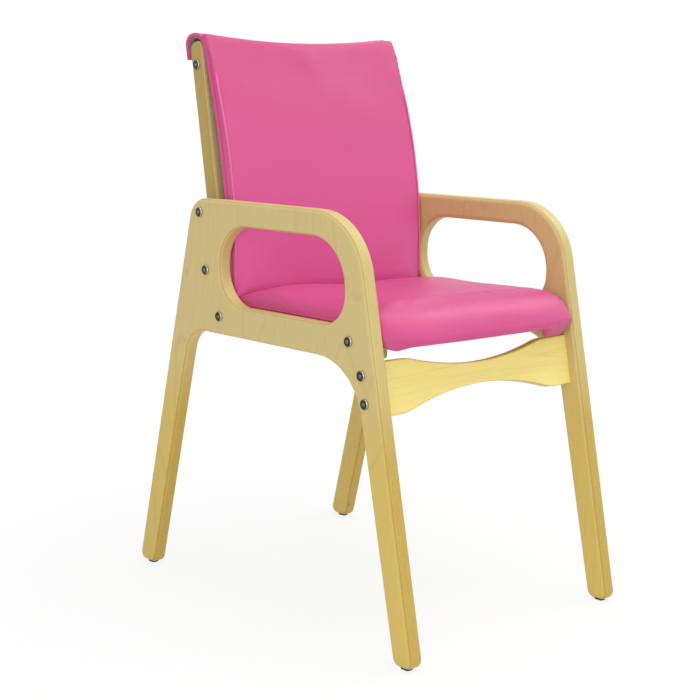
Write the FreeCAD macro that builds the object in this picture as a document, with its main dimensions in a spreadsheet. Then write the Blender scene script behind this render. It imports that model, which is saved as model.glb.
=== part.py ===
import FreeCAD, Part
import Sketcher
import math
import os

# School armchair of birch plywood with an upholstered seat and back. Millimetres, +Z up, the sitter
# faces -Y and the sitter's right is -X. The origin is on the floor, midway between the feet.

Vector = FreeCAD.Vector
Rotation = FreeCAD.Rotation
Placement = FreeCAD.Placement

doc = FreeCAD.newDocument("school_armchair")

SIZES = (
    # side panels: one plywood piece each, with both legs, the armrest and the seat rail
    ("inside_width", 392.0),
    ("panel_thickness", 24.0),
    ("panel_edge_round", 7.0),
    ("arm_height", 591.0),
    ("arm_bar", 36.0),
    ("arch_height", 394.5),
    ("seat_rail", 44.5),
    ("front_toe", 308.7),
    ("front_lean", 12.1),
    ("front_foot", 37.0),
    ("front_leg_top", 42.0),
    ("rear_heel", 309.3),
    ("rear_lean", 13.2),
    ("rear_foot", 39.5),
    ("rear_leg_top", 41.5),
    ("foot_round", 12.0),
    ("arm_front_round", 99.0),
    ("arm_rear_round", 36.0),
    ("arch_front_round", 92.0),
    ("arch_rear_round", 43.0),
    ("hole_front_wall", 41.0),
    ("hole_rear_wall", 90.7),
    ("hole_rear_round", 54.0),
    ("hole_arm_round", 68.0),
    ("hole_low_round", 43.0),
    # foot glides
    ("glide_height", 3.0),
    ("glide_length", 16.0),
    ("glide_width", 13.0),
    ("glide_round", 5.0),
    ("glide_chamfer", 0.8),
    ("pin_shank", 2.6),
    ("pin_head", 6.0),
    ("pin_head_height", 1.2),
    ("pin_sink", 0.4),
    ("pin_reach", 16.0),
    # screws and nuts
    ("bolt_shank", 6.0),
    ("bolt_head", 14.6),
    ("bolt_head_height", 3.2),
    ("bolt_rim_round", 2.0),
    ("socket_flats", 4.0),
    ("socket_depth", 2.4),
    ("bolt_play", 0.6),
    ("bolt_bite", 42.0),
    ("nut_diameter", 10.0),
    ("nut_length", 14.0),
    ("nut_setback", 32.0),
    ("insert_diameter", 12.0),
    ("insert_length", 14.0),
    ("screw_shank", 4.0),
    ("screw_head", 8.0),
    ("screw_head_height", 2.6),
    ("screw_bite", 11.0),
    ("fit", 0.2),
    # back uprights and the two rails between them
    ("back_lean", 10.5),
    ("back_bolt_rise", 65.0),
    ("arm_bolt_drop", 20.4),
    ("upright_inset", 61.0),
    ("upright_thickness", 22.0),
    ("upright_width", 28.0),
    ("upright_tail", 24.0),
    ("upright_reach", 336.5),
    ("upright_end_round", 11.0),
    ("upright_edge_round", 5.0),
    ("top_bolt_drop", 34.5),
    ("back_rail_thickness", 18.0),
    ("back_rail_height", 50.0),
    ("back_rail_round", 4.0),
    # front rail, waisted like a bow tie
    ("rail_thickness", 18.0),
    ("rail_up", 34.5),
    ("rail_down", 39.5),
    ("rail_waist", 31.0),
    ("rail_top_flat", 56.0),
    ("rail_low_flat", 46.0),
    ("rail_shoulder_round", 90.0),
    ("rail_edge_round", 3.0),
    ("rail_bolt_spread", 37.6),
    ("rail_setback", 27.0),
    ("rail_gap", 2.3),
    # seat board and its bearers
    ("seat_bolt_rise", 27.3),
    ("seat_front_bolt_inset", 43.7),
    ("seat_rear_bolt_inset", 109.0),
    ("board_thickness", 18.0),
    ("board_overhang", 2.0),
    ("board_tail", 20.0),
    ("board_front_round", 28.0),
    ("board_rear_round", 6.0),
    ("board_nose_round", 6.0),
    ("bearer_width", 17.0),
    ("bearer_height", 13.5),
    ("bearer_front", 31.0),
    ("bearer_rear", 2.0),
    ("bearer_end_round", 5.0),
    ("bearer_screw_inset", 40.0),
    # seat cushion
    ("seat_side_gap", 1.0),
    ("seat_back_gap", 1.0),
    ("seat_rear_rise", 22.0),
    ("seat_crest_rise", 34.0),
    ("seat_shoulder_rise", 40.5),
    ("seat_crest_run", 73.0),
    ("seat_nose_run", 25.0),
    ("seat_nose_rake", 33.0),
    ("seat_lip", 3.1),
    ("seat_rear_round", 8.0),
    ("seat_crest_round", 300.0),
    ("seat_shoulder_round", 48.0),
    ("seat_nose_round", 6.0),
    ("seat_crown", 7.0),
    ("seat_nose_draw", 5.0),
    ("seat_side_draw", 2.0),
    ("seat_side_round", 6.0),
    # back pad: lining, shell that hooks over the uprights, cushion
    ("back_end_gap", 1.0),
    ("lining_thickness", 1.5),
    ("lining_inset", 3.0),
    ("shell_thickness", 6.5),
    ("shell_clear", 0.3),
    ("shell_bow", 21.0),
    ("shell_bow_rise", 173.5),
    ("shell_bow_round", 1300.0),
    ("shell_foot_gap", 7.5),
    ("hook_rise", 5.6),
    ("hook_rear_gap", 3.5),
    ("hook_front_round", 23.0),
    ("hook_rear_round", 8.0),
    ("flap_length", 28.0),
    ("pad_thickness", 13.7),
    ("pad_bow_round", 700.0),
    ("pad_foot_thickness", 8.0),
    ("pad_foot_round", 2.5),
    ("pad_top_drop", 6.0),
    ("pad_top_thickness", 9.5),
    ("pad_top_round", 3.0),
    ("pad_crown", 1.5),
    ("pad_side_draw", 2.5),
    ("pad_side_round", 2.4),
    ("soft_gap", 0.3),
)


def write_sheet(name, rows):
    """Puts named numbers in a sheet, one to a row, and gives each its name as alias."""
    sheet = doc.addObject("Spreadsheet::Sheet", name)
    for row, (alias, number) in enumerate(rows, start=1):
        sheet.set("A%d" % row, alias)
        sheet.set("B%d" % row, "%.9g" % number)
        sheet.setAlias("B%d" % row, alias)
    doc.recompute()
    return sheet


sizes = write_sheet("Sizes", SIZES)
value = {}
home = {}
for size_name, size_number in SIZES:
    value[size_name] = float(sizes.get(size_name))
    home[size_name] = "Sizes"

# Places that follow from the sizes
places = {}
v = value

half_inside = v["inside_width"] / 2.0
places["half_inside"] = half_inside
places["panel_middle"] = v["panel_thickness"] / 2.0

front_slope = math.tan(math.radians(v["front_lean"]))
rear_slope = math.tan(math.radians(v["rear_lean"]))
back_slope = math.tan(math.radians(v["back_lean"]))


def front_edge(height):
    """Front edge of the front leg at a height above the floor."""
    return -v["front_toe"] + front_slope * (height - v["glide_height"])


def rear_edge(height):
    """Rear edge of the rear leg at a height above the floor."""
    return v["rear_heel"] - rear_slope * (height - v["glide_height"])


# Panel outline
places["front_toe_y"] = -v["front_toe"]
places["front_heel_y"] = -v["front_toe"] + v["front_foot"]
places["rear_toe_y"] = v["rear_heel"] - v["rear_foot"]
places["arch_front_y"] = front_edge(v["arch_height"]) + v["front_leg_top"]
places["arch_rear_y"] = rear_edge(v["arch_height"]) - v["rear_leg_top"]
places["arm_front_y"] = front_edge(v["arm_height"])
places["arm_rear_y"] = rear_edge(v["arm_height"])

# Hand opening
hole_top = v["arm_height"] - v["arm_bar"]
hole_bottom = v["arch_height"] + v["seat_rail"]
hole_middle = (hole_top + hole_bottom) / 2.0
places["hole_top"] = hole_top
places["hole_bottom"] = hole_bottom
places["hole_front_y"] = front_edge(hole_middle) + v["hole_front_wall"]
places["hole_rear_y"] = rear_edge(hole_middle) - v["hole_rear_wall"]


def foot_middle(toe, heel, lean):
    """Middle of the flat under a foot, between its two rounded corners."""
    half_turn = math.radians(90.0 - lean) / 2.0
    wide_turn = math.radians(90.0 + lean) / 2.0
    leading = v["foot_round"] * math.tan(wide_turn)
    trailing = v["foot_round"] * math.tan(half_turn)
    step = 1.0 if heel > toe else -1.0
    return (toe + step * leading + heel - step * trailing) / 2.0


places["front_foot_y"] = foot_middle(places["front_toe_y"], places["front_heel_y"], v["front_lean"])
places["rear_foot_y"] = foot_middle(v["rear_heel"], places["rear_toe_y"], v["rear_lean"])
places["pin_hole"] = v["pin_shank"] + v["fit"]
places["pin_hole_depth"] = v["glide_height"] + v["pin_reach"] + v["fit"]
places["pin_recess"] = v["pin_head"] + 2.0 * v["fit"]
places["pin_recess_depth"] = v["pin_sink"] + v["pin_head_height"] + v["fit"]
places["pin_length"] = v["glide_height"] + v["pin_reach"] - v["pin_sink"]
places["pin_radius"] = v["pin_shank"] / 2.0
places["pin_head_radius"] = v["pin_head"] / 2.0
places["half_glide_length"] = v["glide_length"] / 2.0
places["half_glide_width"] = v["glide_width"] / 2.0

# Seat board, its bolts and bearers
seat_bolt_z = v["arch_height"] + v["seat_bolt_rise"]
board_top = seat_bolt_z + v["board_thickness"] / 2.0
board_bottom = seat_bolt_z - v["board_thickness"] / 2.0
seat_front_bolt = front_edge(seat_bolt_z) + v["seat_front_bolt_inset"]
seat_rear_bolt = rear_edge(seat_bolt_z) - v["seat_rear_bolt_inset"]
bearer_bottom = board_bottom - v["bearer_height"]
places["seat_bolt_z"] = seat_bolt_z
places["board_top"] = board_top
places["board_bottom"] = board_bottom
places["seat_front_bolt_y"] = seat_front_bolt
places["seat_rear_bolt_y"] = seat_rear_bolt
places["board_front_y"] = front_edge(seat_bolt_z) - v["board_overhang"]
places["board_rear_y"] = seat_rear_bolt + v["board_tail"]
places["board_half"] = half_inside - v["fit"]
places["half_board"] = v["board_thickness"] / 2.0
places["bearer_bottom"] = bearer_bottom
places["bearer_front_y"] = seat_front_bolt - v["bearer_front"]
places["bearer_rear_y"] = seat_rear_bolt - v["bearer_rear"]
bearer_span = places["bearer_rear_y"] - places["bearer_front_y"]
places["bearer_middle_x"] = half_inside - v["fit"] - v["bearer_width"] / 2.0
places["screw_front_y"] = places["bearer_front_y"] + v["bearer_screw_inset"]
places["screw_rear_y"] = places["bearer_rear_y"] - v["bearer_screw_inset"]
places["screw_middle_y"] = places["bearer_front_y"] + bearer_span / 2.0
places["screw_hole"] = v["screw_shank"] + v["fit"]
places["screw_recess"] = v["screw_head"] + 2.0 * v["fit"]
places["screw_recess_depth"] = v["screw_head_height"] + v["fit"]
places["screw_pilot_depth"] = v["screw_bite"] + v["fit"]
places["screw_length"] = v["bearer_height"] - v["screw_head_height"] - v["fit"] + v["screw_bite"]
places["screw_radius"] = v["screw_shank"] / 2.0
places["screw_head_radius"] = v["screw_head"] / 2.0

# Bolts and nuts
places["bolt_hole"] = v["bolt_shank"] + v["bolt_play"]
places["bolt_radius"] = v["bolt_shank"] / 2.0
places["bolt_head_radius"] = v["bolt_head"] / 2.0
places["nut_hole"] = v["nut_diameter"] + v["fit"]
places["nut_bore"] = v["bolt_shank"] + v["fit"]
nut_half = v["nut_length"] / 2.0 + v["fit"]
places["rail_nut_depth"] = v["rail_thickness"] / 2.0 + nut_half
places["back_nut_depth"] = v["back_rail_thickness"] / 2.0 + nut_half
places["seat_nut_depth"] = v["board_thickness"] / 2.0 + nut_half
places["seat_nut_x"] = places["board_half"] - v["nut_setback"]
places["insert_hole"] = v["insert_diameter"] + v["fit"]
places["insert_depth"] = v["insert_length"] + v["fit"]
places["bolt_depth"] = v["bolt_bite"] + v["fit"]
places["socket_corner"] = v["socket_flats"] / math.sqrt(3.0)
places["socket_half"] = v["socket_flats"] / 2.0
places["socket_side"] = places["socket_corner"] / 2.0
places["long_bolt"] = v["panel_thickness"] + v["fit"] + v["bolt_bite"]
places["insert_bolt"] = v["panel_thickness"] + v["fit"] + v["insert_length"]
places["low_back_bolt"] = v["panel_thickness"] + v["upright_thickness"] + 2.0 * v["fit"] + v["bolt_bite"]
places["top_back_bolt"] = v["upright_thickness"] + v["fit"] + v["bolt_bite"]

# Back uprights: their own frame has its origin on the lower bolt and its up axis along the upright
low_bolt_z = seat_bolt_z + v["back_bolt_rise"]
low_bolt_y = rear_edge(low_bolt_z) - v["upright_inset"]
high_bolt_z = v["arm_height"] - v["arm_bolt_drop"]
back_cosine = math.cos(math.radians(v["back_lean"]))
places["low_bolt_y"] = low_bolt_y
places["low_bolt_z"] = low_bolt_z
places["high_bolt_y"] = low_bolt_y + back_slope * (high_bolt_z - low_bolt_z)
places["high_bolt_z"] = high_bolt_z
places["high_bolt_up"] = (high_bolt_z - low_bolt_z) / back_cosine
places["top_bolt_up"] = v["upright_reach"] - v["top_bolt_drop"]
places["half_upright"] = v["upright_width"] / 2.0
places["half_back_rail"] = half_inside - v["upright_thickness"] - 2.0 * v["fit"]
places["back_rail_length"] = 2.0 * places["half_back_rail"]
places["half_back_rail_thickness"] = v["back_rail_thickness"] / 2.0
places["half_back_rail_height"] = v["back_rail_height"] / 2.0
places["back_nut_x"] = places["half_back_rail"] - v["nut_setback"]
back_frame = Placement(Vector(0, low_bolt_y, low_bolt_z), Rotation(Vector(1, 0, 0), -v["back_lean"]))

# Front rail: its own frame has its origin midway between its two bolts, leaning with the front leg
lean_sine = math.sin(math.radians(v["front_lean"]))
lean_cosine = math.cos(math.radians(v["front_lean"]))
rail_top_z = bearer_bottom - v["rail_gap"]
rail_z = rail_top_z - v["rail_up"] * lean_cosine - v["rail_thickness"] / 2.0 * lean_sine
rail_y = front_edge(rail_z) + v["rail_setback"]
rail_half_spread = v["rail_bolt_spread"] / 2.0
places["rail_half_spread"] = rail_half_spread
places["rail_half"] = half_inside - v["fit"]
places["rail_half_thickness"] = v["rail_thickness"] / 2.0
places["rail_waist_half"] = v["rail_waist"] / 2.0
places["rail_nut_x"] = places["rail_half"] - v["nut_setback"]
places["rail_upper_y"] = rail_y + rail_half_spread * lean_sine
places["rail_upper_z"] = rail_z + rail_half_spread * lean_cosine
places["rail_lower_y"] = rail_y - rail_half_spread * lean_sine
places["rail_lower_z"] = rail_z - rail_half_spread * lean_cosine
rail_frame = Placement(Vector(0, rail_y, rail_z), Rotation(Vector(1, 0, 0), -v["front_lean"]))


def waist_arc(flat, drop):
    """Half span, radius and corner of a waist arc that sinks by drop between two end flats."""
    span = places["rail_half"] - flat
    radius = (span * span + drop * drop) / (2.0 * drop)
    return span, radius


top_span, top_radius = waist_arc(v["rail_top_flat"], v["rail_up"] - places["rail_waist_half"])
low_span, low_radius = waist_arc(v["rail_low_flat"], v["rail_down"] - places["rail_waist_half"])
places["rail_top_span"] = top_span
places["rail_top_radius"] = top_radius
places["rail_low_span"] = low_span
places["rail_low_radius"] = low_radius

ROUND_SHARE = 0.97


def fitted_rounds(points, radii):
    """Radii, cut down only where two roundings would leave no straight run between them."""
    count = len(points)
    reach = []
    for index, radius in enumerate(radii):
        inward = points[index] - points[index - 1]
        outward = points[(index + 1) % count] - points[index]
        reach.append(radius * math.tan(inward.getAngle(outward) / 2.0))
    scale = [1.0] * count
    for index in range(count):
        after = (index + 1) % count
        room = ROUND_SHARE * points[index].distanceToPoint(points[after])
        taken = reach[index] + reach[after]
        if taken > room:
            scale[index] = min(scale[index], room / taken)
            scale[after] = min(scale[after], room / taken)
    return [radius * share for radius, share in zip(radii, scale)]


def run_beside(section, index, neighbour):
    """Straight run that a rounded corner of a section leaves to the corner next to it."""
    points = [Vector(across, up, 0) for across, up, radius in section]
    rounds = fitted_rounds(points, [radius for across, up, radius in section])
    inward = points[index] - points[index - 1]
    outward = points[(index + 1) % len(points)] - points[index]
    reach = rounds[index] * math.tan(inward.getAngle(outward) / 2.0)
    return points[index].distanceToPoint(points[neighbour]) - reach


# Back pad, in the frame of the uprights: y is backward, up is along the upright
pad_bottom_z = board_top + v["shell_foot_gap"]
shell_foot = (pad_bottom_z - low_bolt_z) / back_cosine
hook_top = v["upright_reach"] + v["hook_rise"]
lining_front = -places["half_upright"] - v["shell_clear"]
hook_rear = places["half_upright"] + v["hook_rear_gap"]
bow_up = shell_foot + v["shell_bow_rise"]
HOOK_SHARE = 0.97
hook_run = HOOK_SHARE * (hook_rear - lining_front)
hook_rounds = v["hook_front_round"] + v["hook_rear_round"]
hook_front = v["hook_front_round"] * min(1.0, hook_run / hook_rounds)
hook_back = v["hook_rear_round"] * min(1.0, hook_run / hook_rounds)
hook_back = min(hook_back, HOOK_SHARE * v["flap_length"])
lining_path = (
    (lining_front, shell_foot, 0.0),
    (lining_front - v["shell_bow"], bow_up, v["shell_bow_round"]),
    (lining_front, hook_top, hook_front),
    (hook_rear, hook_top, hook_back),
    (hook_rear, hook_top - v["flap_length"], 0.0),
)


def offset_path(path, gap):
    """Open path of corners moved sideways by gap, to the left of its direction, with rounds that follow."""
    runs = []
    for start, stop in zip(path[:-1], path[1:]):
        length = math.hypot(stop[0] - start[0], stop[1] - start[1])
        across = -(stop[1] - start[1]) / length
        along = (stop[0] - start[0]) / length
        runs.append((across, along))
    moved = []
    for index, (y, up, radius) in enumerate(path):
        before = runs[max(index - 1, 0)]
        after = runs[min(index, len(runs) - 1)]
        spread = 1.0 + before[0] * after[0] + before[1] * after[1]
        side = (before[0] + after[0]) / spread
        rise = (before[1] + after[1]) / spread
        moved.append((y + gap * side, up + gap * rise, radius + gap if radius else 0.0))
    return moved


def keep_corners(prefix, corners):
    """Stores each corner of an outline under a name, and returns those names for a sketch."""
    names = []
    for index, (across, up, radius) in enumerate(corners):
        places["%s_y%d" % (prefix, index)] = across
        places["%s_z%d" % (prefix, index)] = up
        rounded = None
        if radius:
            rounded = "%s_r%d" % (prefix, index)
            places[rounded] = radius
        names.append(("%s_y%d" % (prefix, index), "%s_z%d" % (prefix, index), rounded))
    return names


def strip(path, inner_gap, outer_gap):
    """Closed outline between two offsets of a path."""
    outer = offset_path(path, outer_gap)
    inner = offset_path(path, inner_gap)
    return outer[::-1] + inner


lining_corners = keep_corners("lining", strip(lining_path, 0.0, v["lining_thickness"]))
shell_in = v["lining_thickness"]
shell_out = shell_in + v["shell_thickness"]
shell_corners = keep_corners("shell", strip(lining_path, shell_in, shell_out))

pad_back = offset_path(lining_path, shell_out + v["soft_gap"])
foot_corner = pad_back[0]
bow_corner = pad_back[1]
top_corner = pad_back[2]
pad_top_up = hook_top - v["pad_top_drop"]
top_share = (pad_top_up - bow_corner[1]) / (top_corner[1] - bow_corner[1])
pad_top_y = bow_corner[0] + top_share * (top_corner[0] - bow_corner[0])


def pad_section(draw):
    """Outline of the back cushion, its front drawn back by draw."""
    return (
        (foot_corner[0], foot_corner[1], 0.0),
        (bow_corner[0], bow_corner[1], bow_corner[2]),
        (pad_top_y, pad_top_up, 0.0),
        (pad_top_y - v["pad_top_thickness"] + draw, pad_top_up, v["pad_top_round"]),
        (bow_corner[0] - v["pad_thickness"] + draw, bow_corner[1], v["pad_bow_round"]),
        (foot_corner[0] - v["pad_foot_thickness"] + draw, foot_corner[1], v["pad_foot_round"]),
    )


RUN_SHARE = 0.7
side_section = pad_section(v["pad_crown"])
pad_run = min(run_beside(side_section, 3, 2), run_beside(side_section, 5, 0))
places["pad_side_fillet"] = min(v["pad_side_round"], RUN_SHARE * pad_run)
pad_middle = keep_corners("pad_mid", pad_section(0.0)[::-1])
pad_end = keep_corners("pad_end", side_section[::-1])
places["back_width"] = v["inside_width"] - 2.0 * (v["fit"] + v["back_end_gap"])
places["half_back"] = places["back_width"] / 2.0
places["lining_width"] = places["back_width"] - 2.0 * v["lining_inset"]

# Seat cushion: drawn in the chair's own frame
pad_foot_front = back_frame.multVec(Vector(0, foot_corner[0] - v["pad_foot_thickness"], foot_corner[1]))
seat_base = board_top + v["soft_gap"]
seat_rear = pad_foot_front.y - v["soft_gap"] - v["seat_back_gap"]
seat_inner = places["board_front_y"] - v["soft_gap"]
seat_low = board_bottom + v["seat_lip"]


def seat_section(sink, draw):
    """Outline of the seat cushion: flat on the board, crested on top, rolled over the board's front."""
    nose = seat_inner - v["seat_nose_run"] + draw
    shoulder = nose + v["seat_nose_rake"]
    return (
        (seat_inner, seat_base, 0.0),
        (seat_rear, seat_base, 0.0),
        (seat_rear, board_top + v["seat_rear_rise"] - sink, v["seat_rear_round"]),
        (seat_rear - v["seat_crest_run"], board_top + v["seat_crest_rise"] - sink, v["seat_crest_round"]),
        (shoulder, board_top + v["seat_shoulder_rise"] - sink, v["seat_shoulder_round"]),
        (nose, seat_low, v["seat_nose_round"]),
        (seat_inner, seat_low, 0.0),
    )


end_section = seat_section(v["seat_crown"], v["seat_nose_draw"])
places["seat_side_fillet"] = min(v["seat_side_round"], RUN_SHARE * run_beside(end_section, 5, 6))
seat_middle = keep_corners("seat_mid", seat_section(0.0, 0.0))
seat_end = keep_corners("seat_end", end_section)
places["seat_half"] = half_inside - v["seat_side_gap"]
SIDE_MARGIN = 25.0


def keep_side_draw(prefix, half, draw, low, high):
    """Stores the wide arc that draws a cushion's side in between its corners."""
    depth = draw + v["soft_gap"]
    reach = (high - low) / 2.0 + SIDE_MARGIN
    radius = (reach * reach + depth * depth) / (2.0 * depth)
    places[prefix + "_arc_radius"] = radius
    places[prefix + "_arc_x"] = half - draw + radius
    places[prefix + "_arc_middle"] = (high + low) / 2.0
    places[prefix + "_arc_edge"] = half + v["soft_gap"]


keep_side_draw("seat", places["seat_half"], v["seat_side_draw"], seat_inner - v["seat_nose_run"], seat_rear)
keep_side_draw("pad", places["half_back"], v["pad_side_draw"], shell_foot, pad_top_up)

write_sheet("Places", sorted(places.items()))
for place_name, place_number in places.items():
    value[place_name] = place_number
    home[place_name] = "Places"


def number(name):
    """Number behind a name; a leading minus turns its sign, and no name is zero."""
    if name is None:
        return 0.0
    if name.startswith("-"):
        return -value[name[1:]]
    return value[name]


def reference(name):
    """Expression that reads a name from its sheet."""
    if name.startswith("-"):
        return "-%s.%s" % (home[name[1:]], name[1:])
    return "%s.%s" % (home[name], name)


def new_body(label):
    body = doc.addObject("PartDesign::Body", label)
    body.Label = label
    return body


def sketch_on(body, role, name, lift=None):
    """Sketch on one of the body's own origin planes, lifted off it by a named distance."""
    sketch = body.newObject("Sketcher::SketchObject", "%s_%s" % (body.Name, name))
    plane = [item for item in body.Origin.OriginFeatures if item.Role == role][0]
    sketch.AttachmentSupport = [(plane, "")]
    sketch.MapMode = "FlatFace"
    if lift is not None:
        sketch.AttachmentOffset = Placement(Vector(0, 0, number(lift)), Rotation())
        sketch.setExpression("AttachmentOffset.Base.z", reference(lift))
    return sketch


def tie(sketch, kind, picks, name):
    """Adds a measured constraint and binds it to a named number."""
    index = sketch.addConstraint(Sketcher.Constraint(kind, *picks, number(name)))
    label = "%s_%d" % (kind.lower(), index)
    sketch.renameConstraint(index, label)
    sketch.setExpression("Constraints.%s" % label, reference(name))


def pin_point(sketch, geometry, end, across, up):
    """Holds one point of a sketch at named distances from its origin."""
    if across is None:
        sketch.addConstraint(Sketcher.Constraint("PointOnObject", geometry, end, -2))
    else:
        tie(sketch, "DistanceX", (-1, 1, geometry, end), across)
    if up is None:
        sketch.addConstraint(Sketcher.Constraint("PointOnObject", geometry, end, -1))
    else:
        tie(sketch, "DistanceY", (-1, 1, geometry, end), up)


def corner_arc(before, corner, after, radius):
    """Tangent points, centre and turn of the arc that rounds a corner."""
    toward = (before - corner).normalize()
    onward = (after - corner).normalize()
    opening = toward.getAngle(onward)
    reach = radius / math.tan(opening / 2.0)
    middle = (toward + onward).normalize()
    centre = corner + middle * (radius / math.sin(opening / 2.0))
    turn = (corner - before).cross(after - corner).z
    return corner + toward * reach, corner + onward * reach, centre, turn


def outline(sketch, corners):
    """Closed outline of straight runs, with tangent arcs at the corners that have a radius."""
    points = [Vector(number(across), number(up), 0) for across, up, radius in corners]
    count = len(points)
    rounds = fitted_rounds(points, [number(radius) for across, up, radius in corners])
    entry = []
    leave = []
    arcs = []
    for index, (across, up, radius) in enumerate(corners):
        corner = points[index]
        if radius is None:
            entry.append(corner)
            leave.append(corner)
            arcs.append(None)
            continue
        before = points[index - 1]
        after = points[(index + 1) % count]
        first, second, centre, turn = corner_arc(before, corner, after, rounds[index])
        entry.append(first)
        leave.append(second)
        arcs.append((centre, turn))
    lines = []
    for index in range(count):
        segment = Part.LineSegment(leave[index], entry[(index + 1) % count])
        lines.append(sketch.addGeometry(segment, False))
    for index, (across, up, radius) in enumerate(corners):
        line_in = lines[index - 1]
        line_out = lines[index]
        if arcs[index] is None:
            sketch.addConstraint(Sketcher.Constraint("Coincident", line_in, 2, line_out, 1))
            pin_point(sketch, line_out, 1, across, up)
            continue
        centre, turn = arcs[index]
        start, stop = entry[index], leave[index]
        ends = (1, 2)
        if turn < 0:
            start, stop = stop, start
            ends = (2, 1)
        circle = Part.Circle(centre, Vector(0, 0, 1), rounds[index])
        first_angle = math.atan2(start.y - centre.y, start.x - centre.x)
        last_angle = math.atan2(stop.y - centre.y, stop.x - centre.x)
        arc = sketch.addGeometry(Part.ArcOfCircle(circle, first_angle, last_angle), False)
        sketch.addConstraint(Sketcher.Constraint("Tangent", line_in, 2, arc, ends[0]))
        sketch.addConstraint(Sketcher.Constraint("Tangent", line_out, 1, arc, ends[1]))
        if rounds[index] < number(radius):
            sketch.addConstraint(Sketcher.Constraint("Radius", arc, rounds[index]))
        else:
            tie(sketch, "Radius", (arc,), radius)
        mark = sketch.addGeometry(Part.Point(points[index]), True)
        pin_point(sketch, mark, 1, across, up)
        sketch.addConstraint(Sketcher.Constraint("PointOnObject", mark, 1, line_in))
        sketch.addConstraint(Sketcher.Constraint("PointOnObject", mark, 1, line_out))


def circles(sketch, spots, diameter):
    """Circles of one named diameter at named spots."""
    for across, up in spots:
        centre = Vector(number(across), number(up), 0)
        circle = sketch.addGeometry(Part.Circle(centre, Vector(0, 0, 1), number(diameter) / 2.0), False)
        pin_point(sketch, circle, 3, across, up)
        tie(sketch, "Diameter", (circle,), diameter)


def pad(sketch, length, symmetric=False, name="pad"):
    body = sketch.getParentGeoFeatureGroup()
    feature = body.newObject("PartDesign::Pad", "%s_%s" % (body.Name, name))
    feature.Profile = sketch
    feature.setExpression("Length", reference(length))
    if symmetric:
        feature.SideType = "Symmetric"
    doc.recompute()
    return feature


def pocket(sketch, length=None, onward=False, symmetric=False):
    """Cut from a sketch; with no length it goes right through."""
    body = sketch.getParentGeoFeatureGroup()
    before = body.Shape.Volume
    feature = body.newObject("PartDesign::Pocket", "%s_cut" % sketch.Name)
    feature.Profile = sketch
    if length is None:
        feature.Type = "ThroughAll"
    else:
        feature.setExpression("Length", reference(length))
    feature.Reversed = onward
    if symmetric:
        feature.SideType = "Symmetric"
    doc.recompute()
    if not body.Shape.Volume < before:
        raise RuntimeError("%s removes nothing" % sketch.Name)
    return feature


def mirror(body, features):
    """Repeats cuts on the other side of the body's middle plane."""
    feature = body.newObject("PartDesign::Mirrored", "%s_mirror" % body.Name)
    feature.Originals = features
    plane = [item for item in body.Origin.OriginFeatures if item.Role == "YZ_Plane"][0]
    feature.MirrorPlane = (plane, [""])
    body.Tip = feature
    doc.recompute()
    return feature


def soften(base, wanted, radius, name="round", kind="Fillet"):
    """Rounds or bevels the edges of a feature that pass a test."""
    body = base.getParentGeoFeatureGroup()
    names = []
    for index, edge in enumerate(base.Shape.Edges, start=1):
        if wanted(edge):
            names.append("Edge%d" % index)
    if not names:
        raise RuntimeError("%s has no such edge" % base.Name)
    feature = body.newObject("PartDesign::%s" % kind, "%s_%s" % (body.Name, name))
    feature.Base = (base, names)
    feature.setExpression("Radius" if kind == "Fillet" else "Size", reference(radius))
    doc.recompute()
    return feature


TOUCH = 0.001


def flat_at_x(*positions):
    """Test for edges that lie in a plane across X."""
    def wanted(edge):
        box = edge.BoundBox
        return any(abs(box.XMin - x) < TOUCH and abs(box.XMax - x) < TOUCH for x in positions)
    return wanted


def side_panel(label, left_face):
    """Plywood side: both legs, armrest and seat rail in one outline, with the hand opening."""
    body = new_body(label)
    sketch = sketch_on(body, "YZ_Plane", "outline")
    outline(sketch, (
        ("front_toe_y", "glide_height", "foot_round"),
        ("front_heel_y", "glide_height", "foot_round"),
        ("arch_front_y", "arch_height", "arch_front_round"),
        ("arch_rear_y", "arch_height", "arch_rear_round"),
        ("rear_toe_y", "glide_height", "foot_round"),
        ("rear_heel", "glide_height", "foot_round"),
        ("arm_rear_y", "arm_height", "arm_rear_round"),
        ("arm_front_y", "arm_height", "arm_front_round"),
    ))
    outline(sketch, (
        ("hole_front_y", "hole_bottom", "hole_low_round"),
        ("hole_rear_y", "hole_bottom", "hole_rear_round"),
        ("hole_rear_y", "hole_top", "hole_rear_round"),
        ("hole_front_y", "hole_top", "hole_arm_round"),
    ))
    board = pad(sketch, "panel_thickness")
    soften(board, flat_at_x(0.0, v["panel_thickness"]), "panel_edge_round")
    bolts = sketch_on(body, "YZ_Plane", "bolt_holes")
    circles(bolts, (
        ("low_bolt_y", "low_bolt_z"),
        ("high_bolt_y", "high_bolt_z"),
        ("seat_front_bolt_y", "seat_bolt_z"),
        ("seat_rear_bolt_y", "seat_bolt_z"),
        ("rail_upper_y", "rail_upper_z"),
        ("rail_lower_y", "rail_lower_z"),
    ), "bolt_hole")
    pocket(bolts, onward=True)
    pins = sketch_on(body, "XY_Plane", "pin_holes")
    circles(pins, (("panel_middle", "front_foot_y"), ("panel_middle", "rear_foot_y")), "pin_hole")
    pocket(pins, "pin_hole_depth", onward=True)
    body.Placement = Placement(Vector(left_face, 0, 0), Rotation())
    return body


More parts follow.
